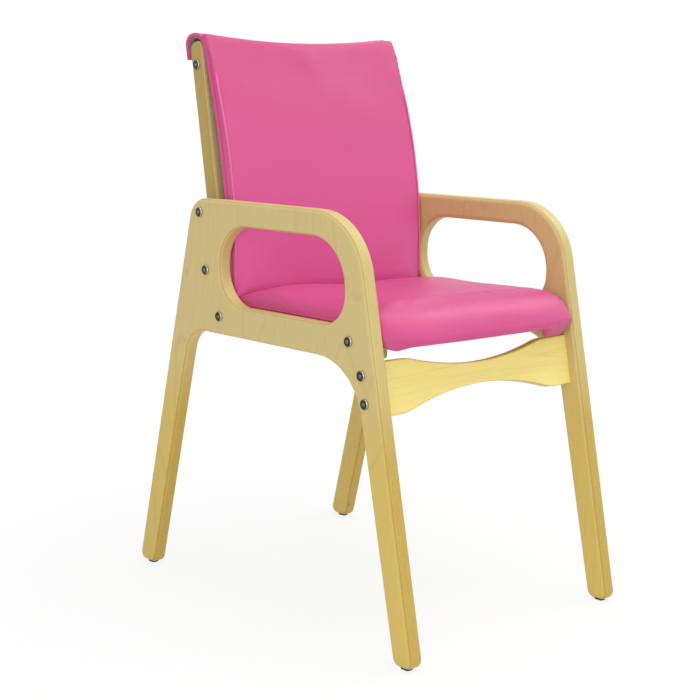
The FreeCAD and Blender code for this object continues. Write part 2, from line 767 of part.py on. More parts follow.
def back_upright(label, left_face, outer_lift):
    """Leaning post inside a panel, with a threaded insert let into the face that meets the panel."""
    body = new_body(label)
    sketch = sketch_on(body, "YZ_Plane", "outline")
    outline(sketch, (
        ("-half_upright", "-upright_tail", "upright_end_round"),
        ("half_upright", "-upright_tail", "upright_end_round"),
        ("half_upright", "upright_reach", "upright_end_round"),
        ("-half_upright", "upright_reach", "upright_end_round"),
    ))
    post = pad(sketch, "upright_thickness")
    soften(post, flat_at_x(0.0, v["upright_thickness"]), "upright_edge_round")
    bolts = sketch_on(body, "YZ_Plane", "bolt_holes")
    circles(bolts, ((None, None), (None, "top_bolt_up")), "bolt_hole")
    pocket(bolts, onward=True)
    insert = sketch_on(body, "YZ_Plane", "insert", outer_lift)
    circles(insert, ((None, "high_bolt_up"),), "insert_hole")
    pocket(insert, "insert_depth", onward=outer_lift is None)
    body.Placement = Placement(Vector(left_face, 0, 0), Rotation()).multiply(back_frame)
    return body


def drill_ends(body, half, spots, nut_spots, rear_face, nut_depth):
    """Bolt holes in both ends of a rail, crossed by holes for barrel nuts from its rear face."""
    ends = sketch_on(body, "YZ_Plane", "end_holes", half)
    circles(ends, spots, "bolt_hole")
    end_cut = pocket(ends, "bolt_depth")
    nuts = sketch_on(body, "XZ_Plane", "nut_holes", rear_face)
    circles(nuts, nut_spots, "nut_hole")
    nut_cut = pocket(nuts, nut_depth, onward=True)
    mirror(body, [end_cut, nut_cut])


def back_rail(label, up):
    """Straight rail between the uprights, its long edges rounded."""
    body = new_body(label)
    sketch = sketch_on(body, "YZ_Plane", "section")
    outline(sketch, (
        ("-half_back_rail_thickness", "-half_back_rail_height", "back_rail_round"),
        ("half_back_rail_thickness", "-half_back_rail_height", "back_rail_round"),
        ("half_back_rail_thickness", "half_back_rail_height", "back_rail_round"),
        ("-half_back_rail_thickness", "half_back_rail_height", "back_rail_round"),
    ))
    pad(sketch, "back_rail_length", symmetric=True)
    drill_ends(body, "half_back_rail", ((None, None),), (("back_nut_x", None),),
               "-half_back_rail_thickness", "back_nut_depth")
    body.Placement = back_frame.multiply(Placement(Vector(0, 0, up), Rotation()))
    return body


def waist(sketch, level, span, radius, waist_level, upper):
    """Arc that dips from one end flat to the waist and back; returns the arc's geometry."""
    sign = 1.0 if upper else -1.0
    middle = Vector(0, sign * (number(waist_level) + number(radius)), 0)
    left = math.atan2(sign * number(level) - middle.y, -number(span))
    right = math.atan2(sign * number(level) - middle.y, number(span))
    circle = Part.Circle(middle, Vector(0, 0, 1), number(radius))
    ends = (left, right) if upper else (right, left)
    arc = sketch.addGeometry(Part.ArcOfCircle(circle, *ends), False)
    sketch.addConstraint(Sketcher.Constraint("PointOnObject", arc, 3, -2))
    tie(sketch, "Radius", (arc,), radius)
    return arc


def front_rail(label):
    """Rail between the front legs: full height at its ends, arched to a waist above and below."""
    body = new_body(label)
    sketch = sketch_on(body, "XZ_Plane", "outline")
    top_arc = waist(sketch, "rail_up", "rail_top_span", "rail_top_radius", "rail_waist_half", True)
    low_arc = waist(sketch, "rail_down", "rail_low_span", "rail_low_radius", "rail_waist_half", False)
    side, up, down = number("rail_half"), number("rail_up"), number("rail_down")
    top, low = number("rail_top_span"), number("rail_low_span")
    runs = (
        (Vector(top, up, 0), Vector(side, up, 0)),
        (Vector(side, up, 0), Vector(side, -down, 0)),
        (Vector(side, -down, 0), Vector(low, -down, 0)),
        (Vector(-low, -down, 0), Vector(-side, -down, 0)),
        (Vector(-side, -down, 0), Vector(-side, up, 0)),
        (Vector(-side, up, 0), Vector(-top, up, 0)),
    )
    lines = [sketch.addGeometry(Part.LineSegment(start, stop), False) for start, stop in runs]
    joins = ((top_arc, 2, lines[0], 1), (lines[0], 2, lines[1], 1), (lines[1], 2, lines[2], 1),
             (lines[2], 2, low_arc, 1), (low_arc, 2, lines[3], 1), (lines[3], 2, lines[4], 1),
             (lines[4], 2, lines[5], 1), (lines[5], 2, top_arc, 1))
    for join in joins:
        sketch.addConstraint(Sketcher.Constraint("Coincident", *join))
    pin_point(sketch, lines[0], 1, "rail_top_span", "rail_up")
    pin_point(sketch, lines[1], 1, "rail_half", "rail_up")
    pin_point(sketch, lines[2], 1, "rail_half", "-rail_down")
    pin_point(sketch, low_arc, 1, "rail_low_span", "-rail_down")
    tie(sketch, "DistanceX", (-1, 1, lines[3], 1), "-rail_low_span")
    pin_point(sketch, lines[4], 1, "-rail_half", "-rail_down")
    pin_point(sketch, lines[5], 1, "-rail_half", "rail_up")
    tie(sketch, "DistanceX", (-1, 1, lines[5], 2), "-rail_top_span")
    board = pad(sketch, "rail_thickness", symmetric=True)
    shoulders = ((top, up), (-top, up), (low, -down), (-low, -down))

    def at_shoulder(edge):
        box = edge.BoundBox
        across = abs(box.YMax - box.YMin - v["rail_thickness"]) < TOUCH
        return across and any(math.hypot(box.XMin - x, box.ZMin - z) < TOUCH for x, z in shoulders)

    eased = soften(board, at_shoulder, "rail_shoulder_round", "shoulders")
    face = v["rail_thickness"] / 2.0

    def along_faces(edge):
        box = edge.BoundBox
        on_face = abs(box.YMax - box.YMin) < TOUCH and abs(abs(box.YMin) - face) < TOUCH
        return on_face and box.XMax - box.XMin > TOUCH

    soften(eased, along_faces, "rail_edge_round", "edges")
    spots = ((None, "rail_half_spread"), (None, "-rail_half_spread"))
    nut_spots = (("rail_nut_x", "rail_half_spread"), ("rail_nut_x", "-rail_half_spread"))
    drill_ends(body, "rail_half", spots, nut_spots, "-rail_half_thickness", "rail_nut_depth")
    body.Placement = rail_frame
    return body


SCREW_ROW = ("screw_front_y", "screw_middle_y", "screw_rear_y")


def seat_board(label):
    """Plywood seat base, bolted through its side edges and screwed to its bearers from below."""
    body = new_body(label)
    sketch = sketch_on(body, "XY_Plane", "outline")
    outline(sketch, (
        ("-board_half", "board_front_y", "board_front_round"),
        ("board_half", "board_front_y", "board_front_round"),
        ("board_half", "board_rear_y", "board_rear_round"),
        ("-board_half", "board_rear_y", "board_rear_round"),
    ))
    board = pad(sketch, "board_thickness", symmetric=True)
    top = v["board_thickness"] / 2.0

    def front_top(edge):
        box = edge.BoundBox
        level = abs(box.ZMin - top) < TOUCH and abs(box.ZMax - top) < TOUCH
        return level and abs(box.YMin - places["board_front_y"]) < TOUCH

    soften(board, front_top, "board_nose_round")
    sides = sketch_on(body, "YZ_Plane", "sides", "board_half")
    circles(sides, (("seat_front_bolt_y", None), ("seat_rear_bolt_y", None)), "bolt_hole")
    side_cut = pocket(sides, "bolt_depth")
    nuts = sketch_on(body, "XY_Plane", "nut_holes", "-half_board")
    circles(nuts, (("seat_nut_x", "seat_front_bolt_y"), ("seat_nut_x", "seat_rear_bolt_y")), "nut_hole")
    nut_cut = pocket(nuts, "seat_nut_depth", onward=True)
    pilots = sketch_on(body, "XY_Plane", "pilots", "-half_board")
    circles(pilots, [("bearer_middle_x", spot) for spot in SCREW_ROW], "screw_hole")
    pilot_cut = pocket(pilots, "screw_pilot_depth", onward=True)
    mirror(body, [side_cut, nut_cut, pilot_cut])
    body.Placement = Placement(Vector(0, 0, seat_bolt_z), Rotation())
    return body


def seat_bearer(label, middle):
    """Batten under one side of the seat board."""
    body = new_body(label)
    sketch = sketch_on(body, "YZ_Plane", "outline")
    outline(sketch, (
        ("bearer_front_y", "bearer_bottom", "bearer_end_round"),
        ("bearer_rear_y", "bearer_bottom", "bearer_end_round"),
        ("bearer_rear_y", "board_bottom", None),
        ("bearer_front_y", "board_bottom", None),
    ))
    pad(sketch, "bearer_width", symmetric=True)
    shanks = sketch_on(body, "XY_Plane", "shanks", "board_bottom")
    circles(shanks, [(None, spot) for spot in SCREW_ROW], "screw_hole")
    pocket(shanks)
    heads = sketch_on(body, "XY_Plane", "heads", "bearer_bottom")
    circles(heads, [(None, spot) for spot in SCREW_ROW], "screw_recess")
    pocket(heads, "screw_recess_depth", onward=True)
    body.Placement = Placement(Vector(middle, 0, 0), Rotation())
    return body


def loft(label, end_corners, middle_corners, half):
    """Cushion body: one outline at both sides, a fuller one in the middle."""
    body = new_body(label)
    sections = []
    for index, (corners, lift) in enumerate(((end_corners, "-" + half), (middle_corners, None),
                                             (end_corners, half))):
        sketch = sketch_on(body, "YZ_Plane", "section%d" % index, lift)
        outline(sketch, corners)
        sections.append(sketch)
    doc.recompute()
    feature = body.newObject("PartDesign::AdditiveLoft", "%s_loft" % label)
    feature.Profile = sections[0]
    feature.Sections = sections[1:]
    feature.Ruled = False
    doc.recompute()
    return body, feature


def draw_in(body, role, prefix):
    """Cuts both sides of a cushion to a wide hollow arc."""
    sketch = sketch_on(body, role, "sides")
    middle = Vector(number(prefix + "_arc_x"), number(prefix + "_arc_middle"), 0)
    radius = number(prefix + "_arc_radius")
    edge = number(prefix + "_arc_edge")
    rise = math.sqrt(radius * radius - (middle.x - edge) ** 2)
    upper = math.atan2(rise, edge - middle.x)
    lower = math.atan2(-rise, edge - middle.x)
    circle = Part.Circle(middle, Vector(0, 0, 1), radius)
    arc = sketch.addGeometry(Part.ArcOfCircle(circle, upper, lower), False)
    ends = Vector(edge, middle.y - rise, 0), Vector(edge, middle.y + rise, 0)
    chord = sketch.addGeometry(Part.LineSegment(*ends), False)
    sketch.addConstraint(Sketcher.Constraint("Coincident", arc, 2, chord, 1))
    sketch.addConstraint(Sketcher.Constraint("Coincident", chord, 2, arc, 1))
    pin_point(sketch, arc, 3, prefix + "_arc_x", prefix + "_arc_middle")
    tie(sketch, "Radius", (arc,), prefix + "_arc_radius")
    tie(sketch, "DistanceX", (-1, 1, chord, 1), prefix + "_arc_edge")
    tie(sketch, "DistanceX", (-1, 1, chord, 2), prefix + "_arc_edge")
    return mirror(body, [pocket(sketch, symmetric=True)])


def beside(edge, half, draw):
    """Whether an edge lies along one hollow side of a cushion."""
    box = edge.BoundBox
    inner = half - draw - v["soft_gap"]
    return box.XMin > inner or box.XMax < -inner


def seat_cushion(label):
    """Foam and vinyl seat: crowned across, highest behind its rolled front, soft along both sides."""
    body, feature = loft(label, seat_end, seat_middle, "seat_half")
    drawn = draw_in(body, "XY_Plane", "seat")

    def soft_edge(edge):
        box = edge.BoundBox
        on_board = box.ZMax < seat_base + TOUCH and box.YMax > seat_inner + TOUCH
        under_lip = box.ZMax < seat_low + TOUCH
        behind_lip = box.YMin > seat_inner - TOUCH and box.ZMin < seat_base - TOUCH
        at_side = beside(edge, number("seat_half"), v["seat_side_draw"])
        return at_side and not (on_board or under_lip or behind_lip)

    soften(drawn, soft_edge, "seat_side_fillet")
    return body


def back_cushion(label):
    """Foam and vinyl back: bowed toward the sitter, crowned across, soft along both sides."""
    body, feature = loft(label, pad_end, pad_middle, "half_back")
    drawn = draw_in(body, "XZ_Plane", "pad")

    def soft_edge(edge):
        middle = edge.valueAt((edge.FirstParameter + edge.LastParameter) / 2.0)
        start, stop = (foot_corner[0], foot_corner[1]), (bow_corner[0], bow_corner[1])
        if middle.z > bow_corner[1]:
            start, stop = stop, (pad_top_y, pad_top_up)
        rear = start[0] + (middle.z - start[1]) / (stop[1] - start[1]) * (stop[0] - start[0])
        at_side = beside(edge, number("half_back"), v["pad_side_draw"])
        return at_side and middle.y < rear - v["soft_gap"]

    soften(drawn, soft_edge, "pad_side_fillet")
    body.Placement = back_frame
    return body


def back_sheet(label, corners, width):
    """Layer of the back that rises behind the cushion, hooks over the uprights and ends in a flap."""
    body = new_body(label)
    sketch = sketch_on(body, "YZ_Plane", "section")
    outline(sketch, corners)
    pad(sketch, width, symmetric=True)
    body.Placement = back_frame
    return body


def foot_glide(label, middle, foot):
    """Flat pad under a foot, with a sunk hole for its pin."""
    body = new_body(label)
    sketch = sketch_on(body, "XY_Plane", "outline")
    outline(sketch, (
        ("-half_glide_width", "-half_glide_length", "glide_round"),
        ("half_glide_width", "-half_glide_length", "glide_round"),
        ("half_glide_width", "half_glide_length", "glide_round"),
        ("-half_glide_width", "half_glide_length", "glide_round"),
    ))
    plate = pad(sketch, "glide_height")
    soften(plate, lambda edge: edge.BoundBox.ZMax < TOUCH, "glide_chamfer", "bevel", "Chamfer")
    shank = sketch_on(body, "XY_Plane", "shank")
    circles(shank, ((None, None),), "pin_hole")
    pocket(shank, onward=True)
    head = sketch_on(body, "XY_Plane", "head")
    circles(head, ((None, None),), "pin_recess")
    pocket(head, "pin_recess_depth", onward=True)
    body.Placement = Placement(Vector(middle, number(foot), 0), Rotation())
    return body


def turned(label, corners):
    """Round piece turned about its own Z axis."""
    body = new_body(label)
    sketch = sketch_on(body, "XZ_Plane", "profile")
    outline(sketch, corners)
    feature = body.newObject("PartDesign::Revolution", "%s_turn" % label)
    feature.Profile = sketch
    feature.ReferenceAxis = (sketch, ["V_Axis"])
    feature.Angle = 360.0
    doc.recompute()
    return body


def bolt_pattern(label, length):
    """Connector bolt: flat head with a rounded rim and a hexagon socket, head up, shank down."""
    body = turned(label, (
        (None, "-" + length, None),
        ("bolt_radius", "-" + length, None),
        ("bolt_radius", None, None),
        ("bolt_head_radius", None, None),
        ("bolt_head_radius", "bolt_head_height", "bolt_rim_round"),
        (None, "bolt_head_height", None),
    ))
    socket = sketch_on(body, "XY_Plane", "socket", "bolt_head_height")
    outline(socket, (
        ("socket_corner", None, None),
        ("socket_side", "socket_half", None),
        ("-socket_side", "socket_half", None),
        ("-socket_corner", None, None),
        ("-socket_side", "-socket_half", None),
        ("socket_side", "-socket_half", None),
    ))
    pocket(socket, "socket_depth")
    return body


def barrel_nut_pattern(label):
    """Steel cylinder with a cross bore for the bolt, its axis along Z and its bore along X."""
    body = new_body(label)
    sketch = sketch_on(body, "XY_Plane", "round")
    circles(sketch, ((None, None),), "nut_diameter")
    pad(sketch, "nut_length", symmetric=True)
    bore = sketch_on(body, "YZ_Plane", "bore")
    circles(bore, ((None, None),), "nut_bore")
    pocket(bore, symmetric=True)
    return body


def insert_pattern(label):
    """Threaded sleeve, its axis along Z and its mouth at the origin."""
    body = new_body(label)
    sketch = sketch_on(body, "XY_Plane", "ring")
    circles(sketch, ((None, None),), "insert_diameter")
    circles(sketch, ((None, None),), "nut_bore")
    pad(sketch, "insert_length")
    return body


def headed_pin_pattern(label, shank, length, head, head_height):
    """Screw or pin with a flat head: head below the origin, shank up to a point."""
    return turned(label, (
        (None, "-" + head_height, None),
        (head, "-" + head_height, None),
        (head, None, None),
        (shank, None, None),
        (shank, length, None),
        (None, length, None),
    ))


def group(label, pattern, spots):
    """Identical small pieces in one node."""
    copies = []
    for index, spot in enumerate(spots):
        copy = doc.addObject("App::Link", "%s_%d" % (label, index))
        copy.LinkedObject = pattern
        copy.Placement = spot
        copies.append(copy)
    node = doc.addObject("Part::Compound", label)
    node.Label = label
    node.Links = copies
    return node


OUT_RIGHT = Rotation(Vector(0, 1, 0), -90)
OUT_LEFT = Rotation(Vector(0, 1, 0), 90)
LEVEL = Rotation(Vector(1, 0, 0), 90)
panel_out = half_inside + v["panel_thickness"]
upright_in = half_inside - v["fit"] - v["upright_thickness"]


def both_sides(distance, spots):
    """Bolt places on both sides of the chair, heads outward, at a distance from its middle."""
    found = []
    for y, z in spots:
        found.append(Placement(Vector(-distance, y, z), OUT_RIGHT))
        found.append(Placement(Vector(distance, y, z), OUT_LEFT))
    return found


def in_frame(frame, spots, turn):
    """Places given in a leaning frame, mirrored to both sides."""
    found = []
    for x, up in spots:
        for side in (-x, x):
            found.append(frame.multiply(Placement(Vector(side, 0, up), turn)))
    return found


nodes = [
    side_panel("side_panel_right", -panel_out),
    side_panel("side_panel_left", half_inside),
    back_upright("back_upright_right", -half_inside + v["fit"], None),
    back_upright("back_upright_left", upright_in, "upright_thickness"),
    back_rail("back_lower_rail", 0.0),
    back_rail("back_top_rail", places["top_bolt_up"]),
    front_rail("front_rail"),
    seat_board("seat_board"),
    seat_bearer("seat_bearer_right", -places["bearer_middle_x"]),
    seat_bearer("seat_bearer_left", places["bearer_middle_x"]),
    seat_cushion("seat_cushion"),
    back_sheet("back_lining", lining_corners, "lining_width"),
    back_sheet("back_shell", shell_corners, "back_width"),
    back_cushion("back_cushion"),
]
for side_name, side_middle in (("right", -half_inside - places["panel_middle"]),
                               ("left", half_inside + places["panel_middle"])):
    nodes.append(foot_glide("glide_front_%s" % side_name, side_middle, "front_foot_y"))
    nodes.append(foot_glide("glide_rear_%s" % side_name, side_middle, "rear_foot_y"))

long_bolt = bolt_pattern("long_bolt_pattern", "long_bolt")
insert_bolt = bolt_pattern("insert_bolt_pattern", "insert_bolt")
low_back_bolt = bolt_pattern("low_back_bolt_pattern", "low_back_bolt")
top_back_bolt = bolt_pattern("top_back_bolt_pattern", "top_back_bolt")
barrel_nut = barrel_nut_pattern("barrel_nut_pattern")
insert = insert_pattern("insert_pattern")
screw = headed_pin_pattern("screw_pattern", "screw_radius", "screw_length", "screw_head_radius",
                           "screw_head_height")
pin = headed_pin_pattern("pin_pattern", "pin_radius", "pin_length", "pin_head_radius", "pin_head_height")

rail_spots = ((places["rail_upper_y"], places["rail_upper_z"]),
              (places["rail_lower_y"], places["rail_lower_z"]))
seat_spots = ((seat_front_bolt, seat_bolt_z), (seat_rear_bolt, seat_bolt_z))
high_spot = (places["high_bolt_y"], places["high_bolt_z"])
top_bolt = back_frame.multVec(Vector(0, 0, places["top_bolt_up"]))
nodes.append(group("front_rail_bolts", long_bolt, both_sides(panel_out, rail_spots)))
nodes.append(group("seat_bolts", long_bolt, both_sides(panel_out, seat_spots)))
nodes.append(group("upright_bolts", insert_bolt, both_sides(panel_out, (high_spot,))))
nodes.append(group("lower_rail_bolts", low_back_bolt, both_sides(panel_out, ((low_bolt_y, low_bolt_z),))))
nodes.append(group("top_rail_bolts", top_back_bolt,
                   both_sides(half_inside - v["fit"], ((top_bolt.y, top_bolt.z),))))

nodes.append(group("front_rail_nuts", barrel_nut, in_frame(rail_frame, (
    (places["rail_nut_x"], rail_half_spread),
    (places["rail_nut_x"], -rail_half_spread),
), LEVEL)))
nodes.append(group("back_rail_nuts", barrel_nut, in_frame(back_frame, (
    (places["back_nut_x"], 0.0),
    (places["back_nut_x"], places["top_bolt_up"]),
), LEVEL)))
nodes.append(group("seat_nuts", barrel_nut, [
    Placement(Vector(side * places["seat_nut_x"], spot, seat_bolt_z), Rotation())
    for side in (-1.0, 1.0) for spot in (seat_front_bolt, seat_rear_bolt)
]))
insert_face = half_inside - v["fit"]
nodes.append(group("upright_inserts", insert, [
    Placement(Vector(-insert_face, high_spot[0], high_spot[1]), OUT_LEFT),
    Placement(Vector(insert_face, high_spot[0], high_spot[1]), OUT_RIGHT),
]))
screw_z = bearer_bottom + v["screw_head_height"] + v["fit"]
nodes.append(group("bearer_screws", screw, [
    Placement(Vector(side * places["bearer_middle_x"], places[spot], screw_z), Rotation())
    for side in (-1.0, 1.0) for spot in SCREW_ROW
]))
pin_z = v["pin_sink"] + v["pin_head_height"]
nodes.append(group("glide_pins", pin, [
    Placement(Vector(side * (half_inside + places["panel_middle"]), places[foot], pin_z), Rotation())
    for side in (-1.0, 1.0) for foot in ("front_foot_y", "rear_foot_y")
]))

doc.recompute()
for item in doc.Objects:
    if "Invalid" in item.State or "Error" in item.State:
        raise RuntimeError("%s did not compute" % item.Name)
for node in nodes:
    if node.Shape.isNull() or not node.Shape.isValid():
        raise RuntimeError("%s has no sound shape" % node.Label)
    if not node.Shape.Solids:
        raise RuntimeError("%s has no solid" % node.Label)

os.makedirs("parts", exist_ok=True)
for node in nodes:
    node.Shape.exportStep(os.path.join("parts", "%s.step" % node.Label))
    box = node.Shape.optimalBoundingBox(False)
    print("%-20s solids %d  x %.1f..%.1f  y %.1f..%.1f  z %.1f..%.1f" % (
        node.Label, len(node.Shape.Solids), box.XMin, box.XMax, box.YMin, box.YMax, box.ZMin, box.ZMax))
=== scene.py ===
import math
import bmesh
import bpy
from mathutils import Matrix, Vector


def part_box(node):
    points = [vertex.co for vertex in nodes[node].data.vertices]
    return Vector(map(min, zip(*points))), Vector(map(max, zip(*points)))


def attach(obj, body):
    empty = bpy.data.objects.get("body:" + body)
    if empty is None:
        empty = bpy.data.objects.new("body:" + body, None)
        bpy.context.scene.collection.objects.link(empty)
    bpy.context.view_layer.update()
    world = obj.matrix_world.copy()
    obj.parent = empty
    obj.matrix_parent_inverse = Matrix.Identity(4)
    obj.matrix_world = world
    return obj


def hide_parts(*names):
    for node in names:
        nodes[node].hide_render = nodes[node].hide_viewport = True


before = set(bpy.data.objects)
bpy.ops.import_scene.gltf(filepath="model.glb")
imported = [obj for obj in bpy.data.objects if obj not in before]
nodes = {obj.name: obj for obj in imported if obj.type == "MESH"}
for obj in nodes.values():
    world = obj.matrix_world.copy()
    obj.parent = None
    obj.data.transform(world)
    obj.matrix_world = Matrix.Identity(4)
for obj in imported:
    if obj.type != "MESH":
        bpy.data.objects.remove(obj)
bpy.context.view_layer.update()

MM = 0.001

# Places taken from the chair's own pieces.
PANEL_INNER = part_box("side_panel_left")[0].x
PANEL_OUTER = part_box("side_panel_left")[1].x
PANEL_MIDDLE = (PANEL_INNER + PANEL_OUTER) / 2.0
PANEL_HALF = (PANEL_OUTER - PANEL_INNER) / 2.0
POST_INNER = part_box("back_upright_left")[0].x
POST_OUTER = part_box("back_upright_left")[1].x
POST_MIDDLE = (POST_INNER + POST_OUTER) / 2.0
POST_HALF = (POST_OUTER - POST_INNER) / 2.0
BOARD_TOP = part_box("seat_board")[1].z
BOARD_HALF = (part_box("seat_board")[1].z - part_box("seat_board")[0].z) / 2.0
SEAT_LOW, SEAT_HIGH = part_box("seat_cushion")
SHELL_LOW, SHELL_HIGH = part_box("back_shell")


def middle_of(node):
    """Middle of a piece's box."""
    low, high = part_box(node)
    return (low + high) / 2.0


LOW_BOLT = middle_of("lower_rail_bolts")
TOP_BOLT = middle_of("top_rail_bolts")
BACK_UP = (TOP_BOLT - LOW_BOLT).normalized()
BACK_REAR = Vector((0.0, BACK_UP.z, -BACK_UP.y))
BACK_LEAN = math.atan2(BACK_UP.y, BACK_UP.z)
RAIL_MIDDLE = middle_of("front_rail_bolts")
RAIL_LEAN = math.radians(12.1)
RAIL_HALF = 9.0 * MM
LEG_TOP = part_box("front_rail")[1].z
LEG_CHANGE_END = LEG_TOP - 150.0 * MM


def in_back(point):
    """A point's distance behind the post bolts and its height along the posts."""
    offset = point - LOW_BOLT
    return offset.dot(BACK_REAR), offset.dot(BACK_UP)


def between(number, start, end):
    """Eased share of the way from start to end, from 0 to 1."""
    share = min(1.0, max(0.0, (number - start) / (end - start)))
    return share * share * (3.0 - 2.0 * share)


def only(piece):
    """Leaves one piece selected and active."""
    bpy.ops.object.select_all(action="DESELECT")
    piece.select_set(True)
    bpy.context.view_layer.objects.active = piece


def begin_edit(piece):
    """Opens a piece for editing with nothing selected."""
    only(piece)
    bpy.ops.object.mode_set(mode="EDIT")
    bpy.ops.mesh.select_mode(type="VERT")
    bpy.ops.mesh.select_all(action="DESELECT")


def end_edit():
    """Closes the piece that is open for editing."""
    bpy.ops.object.mode_set(mode="OBJECT")


def pick(piece, chosen):
    """Selects the points of an open piece by their place."""
    mesh = bmesh.from_edit_mesh(piece.data)
    for point in mesh.verts:
        point.select = chosen(point.co)
    mesh.select_flush_mode()
    bmesh.update_edit_mesh(piece.data)


MERGE_DISTANCE = 0.01 * MM


def copy_of(node, name):
    """A loose copy of a solid piece, its facets merged."""
    piece = bpy.data.objects.new(name, nodes[node].data.copy())
    bpy.context.scene.collection.objects.link(piece)
    piece.data.materials.clear()
    begin_edit(piece)
    bpy.ops.mesh.select_all(action="SELECT")
    bpy.ops.mesh.remove_doubles(threshold=MERGE_DISTANCE)
    end_edit()
    return piece


def worked(piece, kind, **settings):
    """Puts one modifier on a piece and applies it."""
    only(piece)
    step = piece.modifiers.new(kind.lower(), kind)
    for setting, choice in settings.items():
        setattr(step, setting, choice)
    bpy.ops.object.modifier_apply(modifier=step.name)


def reshape(piece, moved):
    """Moves each point of a piece to where it belongs."""
    for point in piece.data.vertices:
        point.co = moved(point.co)
    piece.data.update()


STUFFING_STEPS = 20
SWELL = 1.5 * MM


def stuff(piece, held, pressure, swell):
    """Swells a cover under the pressure of its filling, each point by no more than its swell."""
    group = piece.vertex_groups.new(name="held")
    group.add([point.index for point in piece.data.vertices if held(point.co)], 1.0, "REPLACE")
    before = [point.co.copy() for point in piece.data.vertices]
    only(piece)
    cover = piece.modifiers.new("stuffing", "CLOTH")
    cover.settings.quality = 5
    cover.settings.mass = 0.3
    cover.settings.tension_stiffness = 20.0
    cover.settings.compression_stiffness = 20.0
    cover.settings.bending_stiffness = 8.0
    cover.settings.use_pressure = True
    cover.settings.uniform_pressure_force = pressure
    cover.settings.effector_weights.gravity = 0.0
    cover.settings.vertex_group_mass = group.name
    cover.point_cache.frame_end = STUFFING_STEPS
    for step in range(1, STUFFING_STEPS + 1):
        bpy.context.scene.frame_set(step)
    bpy.ops.object.modifier_apply(modifier=cover.name)
    bpy.context.scene.frame_set(1)
    for point, start in zip(piece.data.vertices, before):
        move = point.co - start
        most = swell(start)
        if move.length > most:
            point.co = start + move * (most / move.length)
    piece.vertex_groups.clear()


def smooth_faces(piece):
    """Shades a piece as one smooth surface."""
    only(piece)
    bpy.ops.object.shade_smooth()


WELT_SIDES = 10
WELT_RADIUS = 1.5 * MM


def welt(name, path):
    """A thin roll of folded vinyl sewn along a seam."""
    turn = (path[1] - path[0]).to_track_quat("Z", "Y").to_euler()
    bpy.ops.mesh.primitive_circle_add(vertices=WELT_SIDES, radius=WELT_RADIUS, fill_type="NGON",
                                      location=path[0], rotation=turn)
    piece = bpy.context.active_object
    piece.name = name
    bpy.ops.object.transform_apply(location=True, rotation=True, scale=True)
    begin_edit(piece)
    bpy.ops.mesh.select_all(action="SELECT")
    for start, end in zip(path[:-1], path[1:]):
        bpy.ops.mesh.extrude_region_move(TRANSFORM_OT_translate={"value": end - start})
    bpy.ops.mesh.select_all(action="SELECT")
    bpy.ops.mesh.normals_make_consistent(inside=False)
    end_edit()
    smooth_faces(piece)
    return piece


def fixed(piece, slot, *stands_for):
    """Fastens a finished piece to the chair."""
    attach(piece, "root")
    if stands_for:
        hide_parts(*stands_for)
    return piece


# Finishes. Colours are written as they look.

def tone(red, green, blue):
    """A colour on the 0 to 255 scale as the shader takes it."""
    def linear(channel):
        share = channel / 255.0
        return share / 12.92 if share <= 0.04045 else ((share + 0.055) / 1.055) ** 2.4
    return (linear(red), linear(green), linear(blue), 1.0)


def emptied(owner):
    """The node tree of a finish or of the world, with nothing in it."""
    owner.use_nodes = True
    owner.node_tree.nodes.clear()
    return owner.node_tree


def new_finish(name):
    """A plain finish: its node tree and its surface shader."""
    finish = bpy.data.materials.new(name)
    tree = emptied(finish)
    output = tree.nodes.new("ShaderNodeOutputMaterial")
    surface = tree.nodes.new("ShaderNodeBsdfPrincipled")
    tree.links.new(surface.outputs["BSDF"], output.inputs["Surface"])
    return finish, tree, surface


def feed(tree, socket, source):
    """Sets a socket from another socket or from a plain value."""
    if isinstance(source, bpy.types.NodeSocket):
        tree.links.new(source, socket)
    else:
        socket.default_value = source


def place_in(tree):
    """The point being coloured, in the chair's own frame."""
    return tree.nodes.new("ShaderNodeTexCoord").outputs["Object"]


def turned_place(tree, point, middle, lean):
    """The point seen from a piece's middle and along its lean."""
    step = tree.nodes.new("ShaderNodeMapping")
    step.vector_type = "TEXTURE"
    feed(tree, step.inputs["Vector"], point)
    step.inputs["Location"].default_value = middle
    step.inputs["Rotation"].default_value = (-lean, 0.0, 0.0)
    return step.outputs["Vector"]


def stretched(tree, point, scale):
    """The point with each direction scaled."""
    step = tree.nodes.new("ShaderNodeMapping")
    feed(tree, step.inputs["Vector"], point)
    step.inputs["Scale"].default_value = scale
    return step.outputs["Vector"]


def parts(tree, point):
    """A point's three numbers."""
    step = tree.nodes.new("ShaderNodeSeparateXYZ")
    feed(tree, step.inputs["Vector"], point)
    return step.outputs["X"], step.outputs["Y"], step.outputs["Z"]


def sum_of(tree, operation, first, second=0.0):
    """One step of arithmetic."""
    step = tree.nodes.new("ShaderNodeMath")
    step.operation = operation
    feed(tree, step.inputs[0], first)
    feed(tree, step.inputs[1], second)
    return step.outputs[0]


def cloud(tree, point, scale, detail=2.0, distortion=0.0):
    """Soft random variation from 0 to 1."""
    step = tree.nodes.new("ShaderNodeTexNoise")
    feed(tree, step.inputs["Vector"], point)
    step.inputs["Scale"].default_value = scale
    step.inputs["Detail"].default_value = detail
    step.inputs["Distortion"].default_value = distortion
    return step.outputs["Fac"]


def pebbles(tree, point, scale):
    """Small rounded cells, as in embossed vinyl."""
    step = tree.nodes.new("ShaderNodeTexVoronoi")
    feed(tree, step.inputs["Vector"], point)
    step.inputs["Scale"].default_value = scale
    return step.outputs["Distance"]


